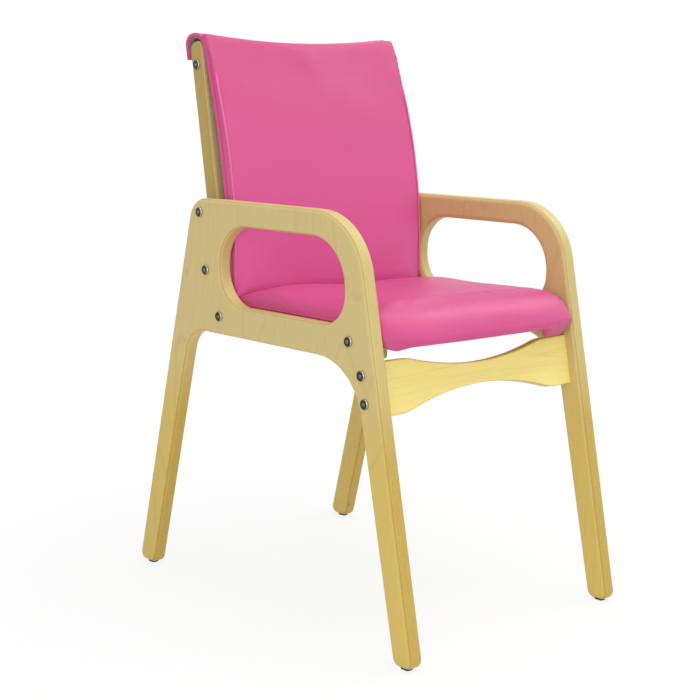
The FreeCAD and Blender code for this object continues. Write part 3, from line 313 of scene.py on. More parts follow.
def ranged(tree, number, low, high, first, last):
    """A number carried from one range to another and kept inside it."""
    step = tree.nodes.new("ShaderNodeMapRange")
    step.interpolation_type = "SMOOTHSTEP"
    feed(tree, step.inputs["Value"], number)
    step.inputs["From Min"].default_value = low
    step.inputs["From Max"].default_value = high
    step.inputs["To Min"].default_value = first
    step.inputs["To Max"].default_value = last
    return step.outputs["Result"]


CLOUD_LOW = 0.3
CLOUD_HIGH = 0.7


def varied(tree, variation, first, last):
    """Random variation carried to a range of its own."""
    return ranged(tree, variation, CLOUD_LOW, CLOUD_HIGH, first, last)


# The mix node's sockets that serve colours.
MIX_SHARE = 0
MIX_FIRST = 6
MIX_SECOND = 7
MIX_RESULT = 2


def colour_mix(tree, share, first, second):
    """Two colours mixed by a share."""
    step = tree.nodes.new("ShaderNodeMix")
    step.data_type = "RGBA"
    feed(tree, step.inputs[MIX_SHARE], share)
    feed(tree, step.inputs[MIX_FIRST], first)
    feed(tree, step.inputs[MIX_SECOND], second)
    return step.outputs[MIX_RESULT]


def raised(tree, surface, height, strength, depth):
    """Gives a surface its fine relief."""
    step = tree.nodes.new("ShaderNodeBump")
    step.inputs["Strength"].default_value = strength
    step.inputs["Distance"].default_value = depth
    feed(tree, step.inputs["Height"], height)
    feed(tree, surface.inputs["Normal"], step.outputs["Normal"])


def lowered(tree, spot, start, end, high, low):
    """A colour that changes to another one from one height down to a lower one."""
    if low is None:
        return high
    height = parts(tree, spot)[2]
    return colour_mix(tree, ranged(tree, height, start, end, 0.0, 1.0), high, low)


# Plywood: its layers and its figure, then the share of each mark in the colour.
PLY_LAYER = 2.0 * MM
PLY_FACE_CUT = 0.5 * MM
PLY_LINE = 2.5 * MM
FIGURE_SCALE = 8.0
FIGURE_STRETCH = 0.12
FIGURE_RINGS = 15.0
ALONG_GRAIN = 10.0
BROAD_SHARE = 0.13
RING_SHARE = 0.11
FIBRE_SHARE = 0.09
STREAK_SHARE = 0.35
LAYER_SHARE = 0.12
GLUE_SHARE = 0.4
GAP_SHARE = 0.85
GAP_TONE = tone(74, 48, 26)


def plywood(name, across, grain, place, half, face, edge, glue, low_face=None, low_edge=None):
    """Birch plywood: figured grain on the faces, thin layers where an edge cuts through them."""
    finish, tree, surface = new_finish(name)
    spot = place_in(tree)
    point = place(tree, spot)
    depth = sum_of(tree, "SUBTRACT", half, sum_of(tree, "ABSOLUTE", across(tree, point)))
    layer = sum_of(tree, "DIVIDE", sum_of(tree, "ADD", depth, PLY_FACE_CUT), PLY_LAYER)
    odd = sum_of(tree, "MODULO", sum_of(tree, "FLOOR", layer), 2.0)
    to_line = sum_of(tree, "ABSOLUTE", sum_of(tree, "SUBTRACT", depth, PLY_LINE))
    along = stretched(tree, point, grain)
    broad = cloud(tree, along, scale=0.6, detail=3.0, distortion=0.6)
    fine = cloud(tree, along, scale=9.0, detail=2.0)
    stretch = [FIGURE_STRETCH if scale < ALONG_GRAIN else 1.0 for scale in grain]
    swell = cloud(tree, stretched(tree, point, stretch), FIGURE_SCALE, detail=1.0, distortion=0.4)
    rings = sum_of(tree, "PINGPONG", sum_of(tree, "MULTIPLY", swell, FIGURE_RINGS), 0.5)
    face_here = lowered(tree, spot, LEG_TOP, LEG_CHANGE_END, face, low_face)
    edge_here = lowered(tree, spot, LEG_TOP, LEG_CHANGE_END, edge, low_edge)
    veneer = colour_mix(tree, ranged(tree, broad, 0.35, 0.75, 0.0, BROAD_SHARE), face_here, edge_here)
    veneer = colour_mix(tree, ranged(tree, rings, 0.0, 0.08, RING_SHARE, 0.0), veneer, glue)
    veneer = colour_mix(tree, ranged(tree, fine, 0.5, 0.8, 0.0, FIBRE_SHARE), veneer, glue)
    streaks = cloud(tree, point, scale=260.0, detail=3.0)
    cut = colour_mix(tree, ranged(tree, streaks, 0.35, 0.7, 0.0, STREAK_SHARE), edge_here, face_here)
    cut = colour_mix(tree, sum_of(tree, "MULTIPLY", odd, LAYER_SHARE), cut, glue)
    cut = colour_mix(tree, ranged(tree, to_line, 0.2 * MM, 0.6 * MM, GLUE_SHARE, 0.0), cut, glue)
    shade = colour_mix(tree, ranged(tree, depth, 0.6 * MM, 1.8 * MM, 0.0, 1.0), veneer, cut)
    gaps = cloud(tree, stretched(tree, point, (0.2, 1.0, 1.0)), scale=40.0, detail=0.0)
    in_layer = ranged(tree, sum_of(tree, "PINGPONG", layer, 3.0), 2.6, 2.7, 0.0, 1.0)
    gap = sum_of(tree, "MULTIPLY", ranged(tree, gaps, 0.86, 0.88, 0.0, GAP_SHARE), in_layer)
    shade = colour_mix(tree, gap, shade, GAP_TONE)
    feed(tree, surface.inputs["Base Color"], shade)
    feed(tree, surface.inputs["Roughness"], varied(tree, broad, 0.36, 0.46))
    surface.inputs["Specular IOR Level"].default_value = 0.4
    raised(tree, surface, fine, strength=0.1, depth=0.12 * MM)
    return finish


def solid_wood(name, grain, place, light, deep):
    """Plain sawn wood with its grain along one direction."""
    finish, tree, surface = new_finish(name)
    along = stretched(tree, place(tree, place_in(tree)), grain)
    broad = cloud(tree, along, scale=1.0, detail=3.0, distortion=0.5)
    fine = cloud(tree, along, scale=8.0, detail=2.0)
    shade = colour_mix(tree, varied(tree, broad, 0.0, 1.0), light, deep)
    shade = colour_mix(tree, ranged(tree, fine, 0.5, 0.75, 0.0, 0.35), shade, deep)
    feed(tree, surface.inputs["Base Color"], shade)
    feed(tree, surface.inputs["Roughness"], varied(tree, broad, 0.42, 0.55))
    raised(tree, surface, fine, strength=0.15, depth=0.15 * MM)
    return finish


def nearest(tree, point, spots):
    """Distance to the nearest of some places."""
    least = None
    for spot in spots:
        step = tree.nodes.new("ShaderNodeVectorMath")
        step.operation = "DISTANCE"
        feed(tree, step.inputs[0], point)
        step.inputs[1].default_value = spot
        gap = step.outputs["Value"]
        least = gap if least is None else sum_of(tree, "MINIMUM", least, gap)
    return least


# Where the seat's painted highlight runs along its front roll, how far it reaches and how strong it is.
SEAT_ROLL = Vector((0.0, SEAT_LOW.y + 19.0 * MM, BOARD_TOP + 20.5 * MM))
ROLL_HIGHLIGHT_REACH = 24.0 * MM
ROLL_HIGHLIGHT_SHARE = 0.5
# The back's painted light: its pink pales from the first height down to the second.
PAINTED_LIGHT_FROM = 800.0 * MM
PAINTED_LIGHT_TO = 480.0 * MM


def vinyl(name, light, deep, roll=None, roll_highlight=None, painted_light_below=None):
    """Soft upholstery vinyl, finely embossed, with a painted highlight along a roll and painted light
    that pales it towards the bottom.
    """
    finish, tree, surface = new_finish(name)
    point = place_in(tree)
    broad = cloud(tree, point, scale=7.0, detail=2.0)
    grain = sum_of(tree, "ADD", pebbles(tree, point, scale=620.0),
                   cloud(tree, point, scale=1500.0, detail=1.0))
    shade = colour_mix(tree, varied(tree, broad, 0.0, 1.0), light, deep)
    if roll is not None:
        # Painted highlight: paler near the roll.
        from_roll = nearest(tree, stretched(tree, point, (0.0, 1.0, 1.0)), [roll])
        shade = colour_mix(tree, ranged(tree, from_roll, ROLL_HIGHLIGHT_REACH, 0.0, 0.0, ROLL_HIGHLIGHT_SHARE), shade, roll_highlight)
    # Painted light: paler towards the bottom.
    shade = lowered(tree, point, PAINTED_LIGHT_FROM, PAINTED_LIGHT_TO, shade, painted_light_below)
    feed(tree, surface.inputs["Base Color"], shade)
    feed(tree, surface.inputs["Roughness"], varied(tree, broad, 0.4, 0.46))
    surface.inputs["Specular IOR Level"].default_value = 0.26
    raised(tree, surface, grain, strength=0.18, depth=0.12 * MM)
    return finish


def felt(name, light, deep):
    """Dark fibrous lining."""
    finish, tree, surface = new_finish(name)
    point = place_in(tree)
    fibres = cloud(tree, point, scale=900.0, detail=3.0, distortion=1.0)
    feed(tree, surface.inputs["Base Color"],
         colour_mix(tree, ranged(tree, fibres, 0.35, 0.65, 0.0, 1.0), deep, light))
    feed(tree, surface.inputs["Roughness"], varied(tree, fibres, 0.8, 0.95))
    raised(tree, surface, fibres, strength=0.4, depth=0.4 * MM)
    return finish


def metal(name, light, deep):
    """Plated steel with a slightly uneven shine."""
    finish, tree, surface = new_finish(name)
    point = place_in(tree)
    uneven = cloud(tree, point, scale=260.0, detail=3.0)
    feed(tree, surface.inputs["Base Color"],
         colour_mix(tree, varied(tree, uneven, 0.0, 1.0), light, deep))
    surface.inputs["Metallic"].default_value = 1.0
    feed(tree, surface.inputs["Roughness"], varied(tree, uneven, 0.22, 0.34))
    raised(tree, surface, uneven, strength=0.05, depth=0.05 * MM)
    return finish


SOCKET_START = 2.0 * MM
SOCKET_END = 2.7 * MM
HEAD_RADIUS = 7.3 * MM
RIM_WIDTH = 0.8 * MM
# Shift of the dark ring that leaves the rim's painted highlight on its front and top.
RIM_HIGHLIGHT_SHIFT = Vector((0.0, 0.6 * MM, -0.3 * MM))
WEAR_SHARE = 0.15


def bolt_places(*bolts):
    """The middle of each bolt head on one side of the chair, seen from the side."""
    spots = []
    for node in bolts:
        low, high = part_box(node)
        inset = Vector((0.0, HEAD_RADIUS, HEAD_RADIUS))
        for corner in (low + inset, high - inset):
            spot = Vector((0.0, corner.y, corner.z))
            if all((spot - other).length > MM for other in spots):
                spots.append(spot)
    return spots


def bolt_metal(name, spots, bright, dark):
    """Bronzed bolt heads, pale in the hexagon socket, with a painted highlight at the front of the rim.
    """
    finish, tree, surface = new_finish(name)
    point = place_in(tree)
    uneven = cloud(tree, point, scale=300.0, detail=3.0)
    flat = stretched(tree, point, (0.0, 1.0, 1.0))
    from_middle = nearest(tree, flat, spots)
    from_rear = nearest(tree, flat, [spot + RIM_HIGHLIGHT_SHIFT for spot in spots])
    past_socket = ranged(tree, from_middle, SOCKET_START, SOCKET_END, 0.0, 1.0)
    within_rim = ranged(tree, from_rear, HEAD_RADIUS - RIM_WIDTH, HEAD_RADIUS, 1.0, 0.0)
    ring = sum_of(tree, "MULTIPLY", past_socket, within_rim)
    # Pale in the socket and a painted highlight at the front of the rim, dark bronze between.
    pale_socket_and_highlit_rim = colour_mix(tree, ring, bright, dark)
    feed(tree, surface.inputs["Base Color"],
         colour_mix(tree, varied(tree, uneven, 0.0, WEAR_SHARE), pale_socket_and_highlit_rim, bright))
    surface.inputs["Metallic"].default_value = 1.0
    feed(tree, surface.inputs["Roughness"], varied(tree, uneven, 0.2, 0.32))
    raised(tree, surface, uneven, strength=0.05, depth=0.05 * MM)
    return finish


def hard_plastic(name, light, deep):
    """Moulded plastic, faintly grained."""
    finish, tree, surface = new_finish(name)
    point = place_in(tree)
    grain = cloud(tree, point, scale=1200.0, detail=2.0)
    feed(tree, surface.inputs["Base Color"],
         colour_mix(tree, varied(tree, grain, 0.0, 1.0), light, deep))
    feed(tree, surface.inputs["Roughness"], varied(tree, grain, 0.45, 0.6))
    raised(tree, surface, grain, strength=0.15, depth=0.1 * MM)
    return finish


def as_is(tree, point):
    """The point in the chair's own frame."""
    return point


def along_posts(tree, point):
    """The point turned so that the posts stand upright."""
    return turned_place(tree, point, LOW_BOLT, BACK_LEAN)


def along_front_rail(tree, point):
    """The point turned so that the front rail stands upright."""
    return turned_place(tree, point, RAIL_MIDDLE, RAIL_LEAN)


def from_panel_middle(tree, point):
    """Distance across a side panel from its middle ply."""
    side = sum_of(tree, "ABSOLUTE", parts(tree, point)[0])
    return sum_of(tree, "SUBTRACT", side, PANEL_MIDDLE)


def from_post_middle(tree, point):
    """Distance across a post from its middle ply."""
    side = sum_of(tree, "ABSOLUTE", parts(tree, point)[0])
    return sum_of(tree, "SUBTRACT", side, POST_MIDDLE)


def from_rail_middle(tree, point):
    """Distance across the front rail from its middle ply."""
    return parts(tree, point)[1]


def from_board_middle(tree, point):
    """Distance across the seat board from its middle ply."""
    return sum_of(tree, "SUBTRACT", parts(tree, point)[2], middle_of("seat_board").z)


UPRIGHT_GRAIN = (45.0, 45.0, 2.4)
CROSS_GRAIN = (2.4, 45.0, 45.0)
FORE_AND_AFT_GRAIN = (45.0, 2.4, 45.0)

PANEL_BOLTS = ("front_rail_bolts", "seat_bolts", "upright_bolts", "lower_rail_bolts")
POST_BOLTS = ("top_rail_bolts",)
PINK = (tone(205, 80, 134), tone(200, 76, 130))
BRONZED = (tone(182, 184, 168), tone(32, 30, 19))

panel_ply = plywood("panel_ply", from_panel_middle, UPRIGHT_GRAIN, as_is, PANEL_HALF,
                    tone(206, 185, 125), tone(207, 188, 119), tone(150, 108, 50),
                    tone(211, 183, 96), tone(195, 165, 77))
post_ply = plywood("post_ply", from_post_middle, UPRIGHT_GRAIN, along_posts, POST_HALF,
                   tone(176, 150, 75), tone(206, 184, 134), tone(140, 100, 52))
rail_ply = plywood("rail_ply", from_rail_middle, CROSS_GRAIN, along_front_rail, RAIL_HALF,
                   tone(247, 230, 138), tone(206, 156, 62), tone(176, 128, 60))
board_ply = plywood("board_ply", from_board_middle, FORE_AND_AFT_GRAIN, as_is, BOARD_HALF,
                    tone(208, 180, 124), tone(190, 158, 96), tone(128, 90, 46))
batten_wood = solid_wood("batten_wood", FORE_AND_AFT_GRAIN, as_is, tone(178, 152, 92), tone(146, 118, 66))
cross_wood = solid_wood("cross_wood", CROSS_GRAIN, along_posts, tone(206, 176, 118), tone(178, 144, 88))
pink_vinyl = vinyl("pink_vinyl", *PINK)
# The seat's vinyl carries a painted highlight along its front roll.
seat_vinyl = vinyl("seat_vinyl", *PINK, roll=SEAT_ROLL, roll_highlight=tone(222, 104, 148))
# The back's pink is deeper than the seat's at the top and pales towards the bottom: painted light that
# evens out how the lamps fall.
back_vinyl = vinyl("back_vinyl", tone(200, 80, 129), tone(195, 76, 125), painted_light_below=tone(219, 95, 158))
# A paler pink for the back welts: a painted highlight along the back's front edges.
welt_highlight_vinyl = vinyl("welt_highlight_vinyl", tone(224, 110, 158), tone(218, 102, 152))
grey_felt = felt("grey_felt", tone(166, 146, 160), tone(108, 94, 108))
panel_bolt_metal = bolt_metal("panel_bolt_metal", bolt_places(*PANEL_BOLTS), *BRONZED)
post_bolt_metal = bolt_metal("post_bolt_metal", bolt_places(*POST_BOLTS), *BRONZED)
zinc = metal("zinc", tone(190, 188, 184), tone(160, 158, 154))
black_plastic = hard_plastic("black_plastic", tone(34, 32, 30), tone(20, 19, 18))

finishes = {
    panel_ply: ("side_panel_right", "side_panel_left"),
    post_ply: ("back_upright_right", "back_upright_left"),
    cross_wood: ("back_top_rail", "back_lower_rail"),
    rail_ply: ("front_rail",),
    board_ply: ("seat_board",),
    batten_wood: ("seat_bearer_right", "seat_bearer_left"),
    panel_bolt_metal: PANEL_BOLTS,
    post_bolt_metal: POST_BOLTS,
    zinc: ("front_rail_nuts", "back_rail_nuts", "seat_nuts", "upright_inserts",
           "bearer_screws", "glide_pins"),
    black_plastic: ("glide_front_right", "glide_front_left", "glide_rear_right", "glide_rear_left"),
    pink_vinyl: ("seat_cushion", "back_cushion", "back_shell"),
    grey_felt: ("back_lining",),
}
for finish, pieces in finishes.items():
    for piece in pieces:
        nodes[piece].data.materials.clear()
        nodes[piece].data.materials.append(finish)


# The seat: a stuffed cover drawn down at its sides, with folds at the front corners.

SEAT_HALF = SEAT_HIGH.x
SEAT_CROWN = 12.0 * MM
SEAT_REAR_START = -90.0 * MM
SEAT_REAR_END = 60.0 * MM
SIDE_ROLL_START = 150.0 * MM
SIDE_ROLL_CURVE = 2.2
REAR_ROLL_DROP = 3.0 * MM
FRONT_ROLL_DROP = 10.0 * MM
REAR_LIFT_START = 20.0 * MM
REAR_LIFT_END = 140.0 * MM
NEAR_REAR_LIFT = 9.0 * MM
FAR_REAR_LIFT = 3.5 * MM
CORNER_START = 120.0 * MM
CORNER_CURVE = 2.6
CORNER_REACH = 60.0 * MM
NEAR_CORNER_PULL = 21.0 * MM
FAR_CORNER_PULL = 14.0 * MM


def rolled_seat(point):
    """Flattens the seat at its rear, and draws the sides down and the front corners back."""
    near = point.x < 0.0
    across = abs(point.x)
    side = max(0.0, (across - SIDE_ROLL_START) / (SEAT_HALF - SIDE_ROLL_START))
    corner = max(0.0, (across - CORNER_START) / (SEAT_HALF - CORNER_START))
    height = between(point.z, BOARD_TOP, SEAT_HIGH.z - SEAT_CROWN)
    front = between(point.y, SEAT_LOW.y + CORNER_REACH, SEAT_LOW.y)
    rear = between(point.y, SEAT_REAR_START, SEAT_REAR_END)
    drop = FRONT_ROLL_DROP + (REAR_ROLL_DROP - FRONT_ROLL_DROP) * rear
    lift = NEAR_REAR_LIFT if near else FAR_REAR_LIFT
    pull = NEAR_CORNER_PULL if near else FAR_CORNER_PULL
    rise = lift * rear * between(across, REAR_LIFT_START, REAR_LIFT_END) - drop * side ** SIDE_ROLL_CURVE
    return Vector((point.x,
                   point.y + pull * front * corner ** CORNER_CURVE,
                   point.z + rise * height))


FRONT_DROP = 1.0 * MM
FAR_FOLD_INNER = (118.0 * MM, 132.0 * MM)
FAR_FOLD_OUTER = (186.0 * MM, 174.0 * MM)
FAR_FOLD_DROP = 15.0 * MM
FAR_FOLD_TUCK = 9.0 * MM
NEAR_FOLD_INNER = (150.0 * MM, 178.0 * MM)
NEAR_FOLD_DROP = 5.5 * MM
FOLD_TOP = 425.0 * MM
FOLD_BOTTOM = 416.5 * MM
FOLD_REAR = -206.0 * MM
FOLD_FRONT = -224.0 * MM
PLEAT_PITCH = 34.0 * MM
PLEAT_DEPTH = 1.6 * MM
PLEAT_SLANT = 1.4


def folded_corners(point):
    """Draws the cover down over the board's front edge, and in a pleat under the two front corners."""
    far = between(point.x, *FAR_FOLD_INNER) * between(point.x, *FAR_FOLD_OUTER)
    near = between(-point.x, *NEAR_FOLD_INNER)
    low = between(point.z, FOLD_TOP, FOLD_BOTTOM) * between(point.y, FOLD_REAR, FOLD_FRONT)
    pleat = PLEAT_DEPTH * math.sin(math.tau * (point.x + PLEAT_SLANT * point.z) / PLEAT_PITCH)
    drop = FRONT_DROP + (FAR_FOLD_DROP - FRONT_DROP) * far + (NEAR_FOLD_DROP - FRONT_DROP) * near
    return Vector((point.x,
                   point.y + (pleat * max(far, near) + FAR_FOLD_TUCK * far) * low,
                   point.z - drop * low))


HELD_HEIGHT = 2.5 * MM
HELD_FROM = 25.0 * MM
SEAT_MESH = 4.5 * MM
SEAT_PRESSURE = 1.2


def on_board(point):
    """The underside of the cover, which lies on the board."""
    return point.z < BOARD_TOP + HELD_HEIGHT and point.y > SEAT_LOW.y + HELD_FROM


def seat_swell(point):
    """The seat swells by as much everywhere."""
    return SWELL


seat_pad = copy_of("seat_cushion", "seat_pad")
worked(seat_pad, "REMESH", mode="VOXEL", voxel_size=SEAT_MESH)
reshape(seat_pad, rolled_seat)
stuff(seat_pad, on_board, SEAT_PRESSURE, seat_swell)
worked(seat_pad, "SUBSURF", levels=1, render_levels=1)
reshape(seat_pad, folded_corners)
smooth_faces(seat_pad)
seat_pad.data.materials.append(seat_vinyl)
fixed(seat_pad, "pink_vinyl", "seat_cushion")

SEAT_WELT_HEIGHT = 440.0 * MM
SEAT_WELT_FRONT = -200.0 * MM
SEAT_WELT_REAR = 84.0 * MM
SEAT_WELT_STEPS = 18
SEAT_WELT_REACH = 4.0 * MM


def seat_seam(side):
    """Points along one side of the seat where its top and its side are sewn together."""
    path = []
    for step in range(SEAT_WELT_STEPS + 1):
        y = SEAT_WELT_REAR + (SEAT_WELT_FRONT - SEAT_WELT_REAR) * step / SEAT_WELT_STEPS
        close = [point.co.x * side for point in seat_pad.data.vertices
                 if abs(point.co.y - y) < SEAT_WELT_REACH
                 and abs(point.co.z - SEAT_WELT_HEIGHT) < SEAT_WELT_REACH]
        path.append(Vector((side * max(close), y, SEAT_WELT_HEIGHT)))
    return path


for welt_name, side in (("seat_welt_right", -1.0), ("seat_welt_left", 1.0)):
    seam = welt(welt_name, seat_seam(side))
    seam.data.materials.append(pink_vinyl)
    fixed(seam, "pink_vinyl")


# The back: a stuffed front and a stiff layer in one cover that hooks over the posts.

SHELL_FACE_END = -22.8 * MM
SHELL_FACE_BOW = 13.2 * MM
SHELL_BOW_UP = 130.0 * MM
SHELL_BOW_HALF = 190.0 * MM
HOOK_FROM = 318.0 * MM
HELD_DEPTH = 3.0 * MM
SWELL_TAPER = 70.0 * MM
TOP_SAG = 11.2 * MM
FAR_LIFT = 9.0 * MM
SAG_START = 220.0 * MM
SAG_END = 345.0 * MM


def shell_face(up):
    """Where the stiff layer's front lies at a height along the posts."""
    return SHELL_FACE_END - SHELL_FACE_BOW * (1.0 - ((up - SHELL_BOW_UP) / SHELL_BOW_HALF) ** 2)


def behind_stuffing(point):
    """The stiff rear of the cover and its hook, which keep their shape."""
    rear, up = in_back(point)
    return rear > shell_face(up) - HELD_DEPTH or up > HOOK_FROM


def back_swell(point):
    """The stuffing runs out under the hook."""
    return SWELL * between(in_back(point)[1], HOOK_FROM, HOOK_FROM - SWELL_TAPER)


def sagging_top(point):
    """Lets the top edge hang between the posts."""
    up = in_back(point)[1]
    across = point.x / SHELL_HIGH.x
    drop = TOP_SAG * (1.0 - across * across) - FAR_LIFT * (across + 1.0) / 2.0
    return point - BACK_UP * drop * between(up, SAG_START, SAG_END)


ROLL_START = 322.0 * MM
ROLL_END = 336.0 * MM
ROLL_RISE = 8.5 * MM
ROLL_BACK = 8.0 * MM


def rolled_top(point):
    """Carries the top of the stuffing up and back over the hook."""
    share = between(in_back(point)[1], ROLL_START, ROLL_END)
    return point + BACK_UP * ROLL_RISE * share + BACK_REAR * ROLL_BACK * share


SIDE_FILL = 1.3 * MM
SIDE_FILL_FROM = 180.0 * MM
SIDE_MIDDLE_UP = 143.0 * MM
SIDE_HALF_UP = 195.0 * MM


def filled_sides(point):
    """Fills out the hollow sides of the stuffing."""
    share = 1.0 - ((in_back(point)[1] - SIDE_MIDDLE_UP) / SIDE_HALF_UP) ** 2
    if abs(point.x) < SIDE_FILL_FROM or share < 0.0:
        return point
    return point + Vector((math.copysign(SIDE_FILL * share, point.x), 0.0, 0.0))


FOLD_END = 4.0 * MM
FRONT_HALF = 178.0 * MM
FRONT_LOW = 20.0 * MM
FRONT_HIGH = 332.0 * MM


def in_fold(point, start):
    """Whether a point of the cover is above a height and in front of the hook's rear."""
    rear, up = in_back(point)
    return up > start and rear < FOLD_END


def on_front(point):
    """The front of the cover, clear of its edges."""
    rear, up = in_back(point)
    return rear < shell_face(up) and abs(point.x) < FRONT_HALF and FRONT_LOW < up < FRONT_HIGH


TOP_SPREAD = 1.0 * MM
TOP_SPREAD_FROM = 150.0 * MM
TOP_SPREAD_LOW = HOOK_FROM - 12.0 * MM
TOP_SPREAD_HIGH = HOOK_FROM + 6.0 * MM


def spread_top(point):
    """Brings the ends of the top out to the hems."""
    share = between(in_back(point)[1], TOP_SPREAD_LOW, TOP_SPREAD_HIGH)
    across = between(abs(point.x), TOP_SPREAD_FROM, SHELL_HIGH.x)
    return point + Vector((math.copysign(TOP_SPREAD * share * across, point.x), 0.0, 0.0))


HEM_WIDTH = 5.0 * MM
COVER_SIDE_GAP = 0.8 * MM
COVER_SHIFT = 1.0 * MM
BACK_MESH = 3.0 * MM
SMOOTHING = 0.5
FOLD_STARTS = (288.0 * MM, 298.0 * MM, 308.0 * MM, HOOK_FROM)
FOLD_REPEATS = 2
TOP_PUFF = 0.8 * MM
PUFF_REACH = 50.0 * MM
BACK_PRESSURE = 0.8
FRONT_REPEATS = 60


def draw_in(gap):
    """Draws the picked points in by a gap at each end of the back."""
    bpy.ops.transform.resize(value=(1.0 - gap / SHELL_HIGH.x, 1.0, 1.0),
                             center_override=(0.0, 0.0, 0.0))


back_cover = copy_of("back_cushion", "back_cover")
reshape(back_cover, rolled_top)
reshape(back_cover, filled_sides)
begin_edit(back_cover)
bpy.ops.mesh.select_all(action="SELECT")
bpy.ops.transform.translate(value=BACK_REAR * COVER_SHIFT)
draw_in(COVER_SIDE_GAP)
end_edit()
back_stiff = copy_of("back_shell", "back_stiff")
begin_edit(back_stiff)
bpy.ops.mesh.select_all(action="SELECT")
draw_in(HEM_WIDTH)
end_edit()
only(back_cover)
back_stiff.select_set(True)
bpy.ops.object.join()
worked(back_cover, "REMESH", mode="VOXEL", voxel_size=BACK_MESH)
begin_edit(back_cover)
for fold_start in FOLD_STARTS:
    pick(back_cover, lambda point: in_fold(point, fold_start))
    bpy.ops.mesh.vertices_smooth(factor=SMOOTHING, repeat=FOLD_REPEATS)
pick(back_cover, lambda point: in_fold(point, ROLL_END))
bpy.ops.transform.shrink_fatten(value=TOP_PUFF, use_proportional_edit=True,
                                proportional_edit_falloff="SMOOTH", proportional_size=PUFF_REACH)
end_edit()
reshape(back_cover, spread_top)
stuff(back_cover, behind_stuffing, BACK_PRESSURE, back_swell)
begin_edit(back_cover)
pick(back_cover, on_front)
bpy.ops.mesh.vertices_smooth(factor=SMOOTHING, repeat=FRONT_REPEATS)
end_edit()
reshape(back_cover, sagging_top)
smooth_faces(back_cover)
back_cover.data.materials.append(back_vinyl)
fixed(back_cover, "pink_vinyl", "back_cushion", "back_shell")

BACK_WELT_LOW = -36.0 * MM
BACK_WELT_HIGH = 330.0 * MM
BACK_WELT_STEPS = 36
BACK_WELT_STRIP = 5.0 * MM
BACK_WELT_BAND = 15.0 * MM
BACK_WELT_INSET = 1.0 * MM
BACK_WELT_SINK = 3.5 * MM
BACK_WELT_SINK_STEPS = 10


def back_seam(side):
    """Points up one front edge of the back, where its front and its side are sewn together."""
    rows = [[] for step in range(BACK_WELT_STEPS + 1)]
    pitch = (BACK_WELT_HIGH - BACK_WELT_LOW) / BACK_WELT_STEPS
    for point in back_cover.data.vertices:
        rear, up = in_back(point.co)
        step = round((up - BACK_WELT_LOW) / pitch)
        if point.co.x * side > SHELL_HIGH.x - BACK_WELT_BAND and 0 <= step <= BACK_WELT_STEPS:
            rows[step].append((point.co.x * side, rear))
    path = []
    for step, row in enumerate(rows):
        sunk = BACK_WELT_SINK * between(step, BACK_WELT_STEPS - BACK_WELT_SINK_STEPS, BACK_WELT_STEPS)
        reach = max(across for across, rear in row) - BACK_WELT_INSET - sunk
        front = min(rear for across, rear in row if across > reach - BACK_WELT_STRIP) + sunk
        path.append(LOW_BOLT + BACK_REAR * front + BACK_UP * (BACK_WELT_LOW + step * pitch)
                    + Vector((side * reach, 0.0, 0.0)))
    return path


for welt_name, side in (("back_welt_right", -1.0), ("back_welt_left", 1.0)):
    seam = welt(welt_name, back_seam(side))
    # The back welts take the paler pink of a painted highlight.
    seam.data.materials.append(welt_highlight_vinyl)
    fixed(seam, "pink_vinyl")


# Inset and rise of each turn of a hem, in millimetres.
HEM_STEPS = ((0.3, 1.3), (0.5, 0.9), (0.7, 0.6), (0.8, 0.25))
HEM_OVERLAP = 2.0 * MM
HEM_SET_BACK = 3.0 * MM
END_DEPTH = 0.1 * MM


def hem(name, side):
    """The rounded edge where the cover turns round the end of the stiff layer and its hook."""
    piece = copy_of("back_shell", name)
    base = side * (SHELL_HIGH.x - HEM_WIDTH)
    begin_edit(piece)
    bpy.ops.mesh.select_all(action="SELECT")
    bpy.ops.mesh.bisect(plane_co=(base - side * HEM_OVERLAP, 0.0, 0.0), plane_no=(-side, 0.0, 0.0),
                        clear_outer=True, use_fill=True)
    bpy.ops.mesh.select_all(action="DESELECT")
    pick(piece, lambda point: point.x * side > SHELL_HIGH.x - END_DEPTH)
    bpy.ops.mesh.dissolve_faces()
    bpy.ops.transform.translate(value=(-side * HEM_SET_BACK, 0.0, 0.0))
    bpy.ops.mesh.select_mode(type="FACE")
    for inward, outward in HEM_STEPS:
        bpy.ops.mesh.inset(thickness=inward * MM, depth=outward * MM)
    bpy.ops.mesh.select_all(action="SELECT")
    bpy.ops.mesh.quads_convert_to_tris()
    bpy.ops.mesh.normals_make_consistent(inside=False)
    end_edit()
    reshape(piece, sagging_top)
    smooth_faces(piece)
    piece.data.materials.append(pink_vinyl)
    return fixed(piece, "pink_shell")


hem("back_hem_right", -1.0)
hem("back_hem_left", 1.0)

LINING_CUTS = 16
SHARP_EDGE = math.radians(40.0)

hook_lining = copy_of("back_lining", "hook_lining")
begin_edit(hook_lining)
for step in range(1, LINING_CUTS):
    bpy.ops.mesh.select_all(action="SELECT")
    cut = SHELL_LOW.x + (SHELL_HIGH.x - SHELL_LOW.x) * step / LINING_CUTS
    bpy.ops.mesh.bisect(plane_co=(cut, 0.0, 0.0), plane_no=(1.0, 0.0, 0.0))
end_edit()
reshape(hook_lining, sagging_top)
only(hook_lining)
bpy.ops.object.shade_smooth_by_angle(angle=SHARP_EDGE)
hook_lining.data.materials.append(grey_felt)
fixed(hook_lining, "grey_lining", "back_lining")


# Floor, light and camera.

FLOOR_SIZE = 60.0
SHADOW_START = 0.385
SHADOW_END = 1.1
FLOOR_GLOW = 0.84
WHITE = (1.0, 1.0, 1.0, 1.0)


def looked_at(tree):
    """1 where the camera sees a surface, directly, mirrored or through glass."""
    path = tree.nodes.new("ShaderNodeLightPath")
    seen = sum_of(tree, "MAXIMUM", path.outputs["Is Camera Ray"], path.outputs["Is Glossy Ray"])
    return sum_of(tree, "MAXIMUM", seen, path.outputs["Is Transmission Ray"])


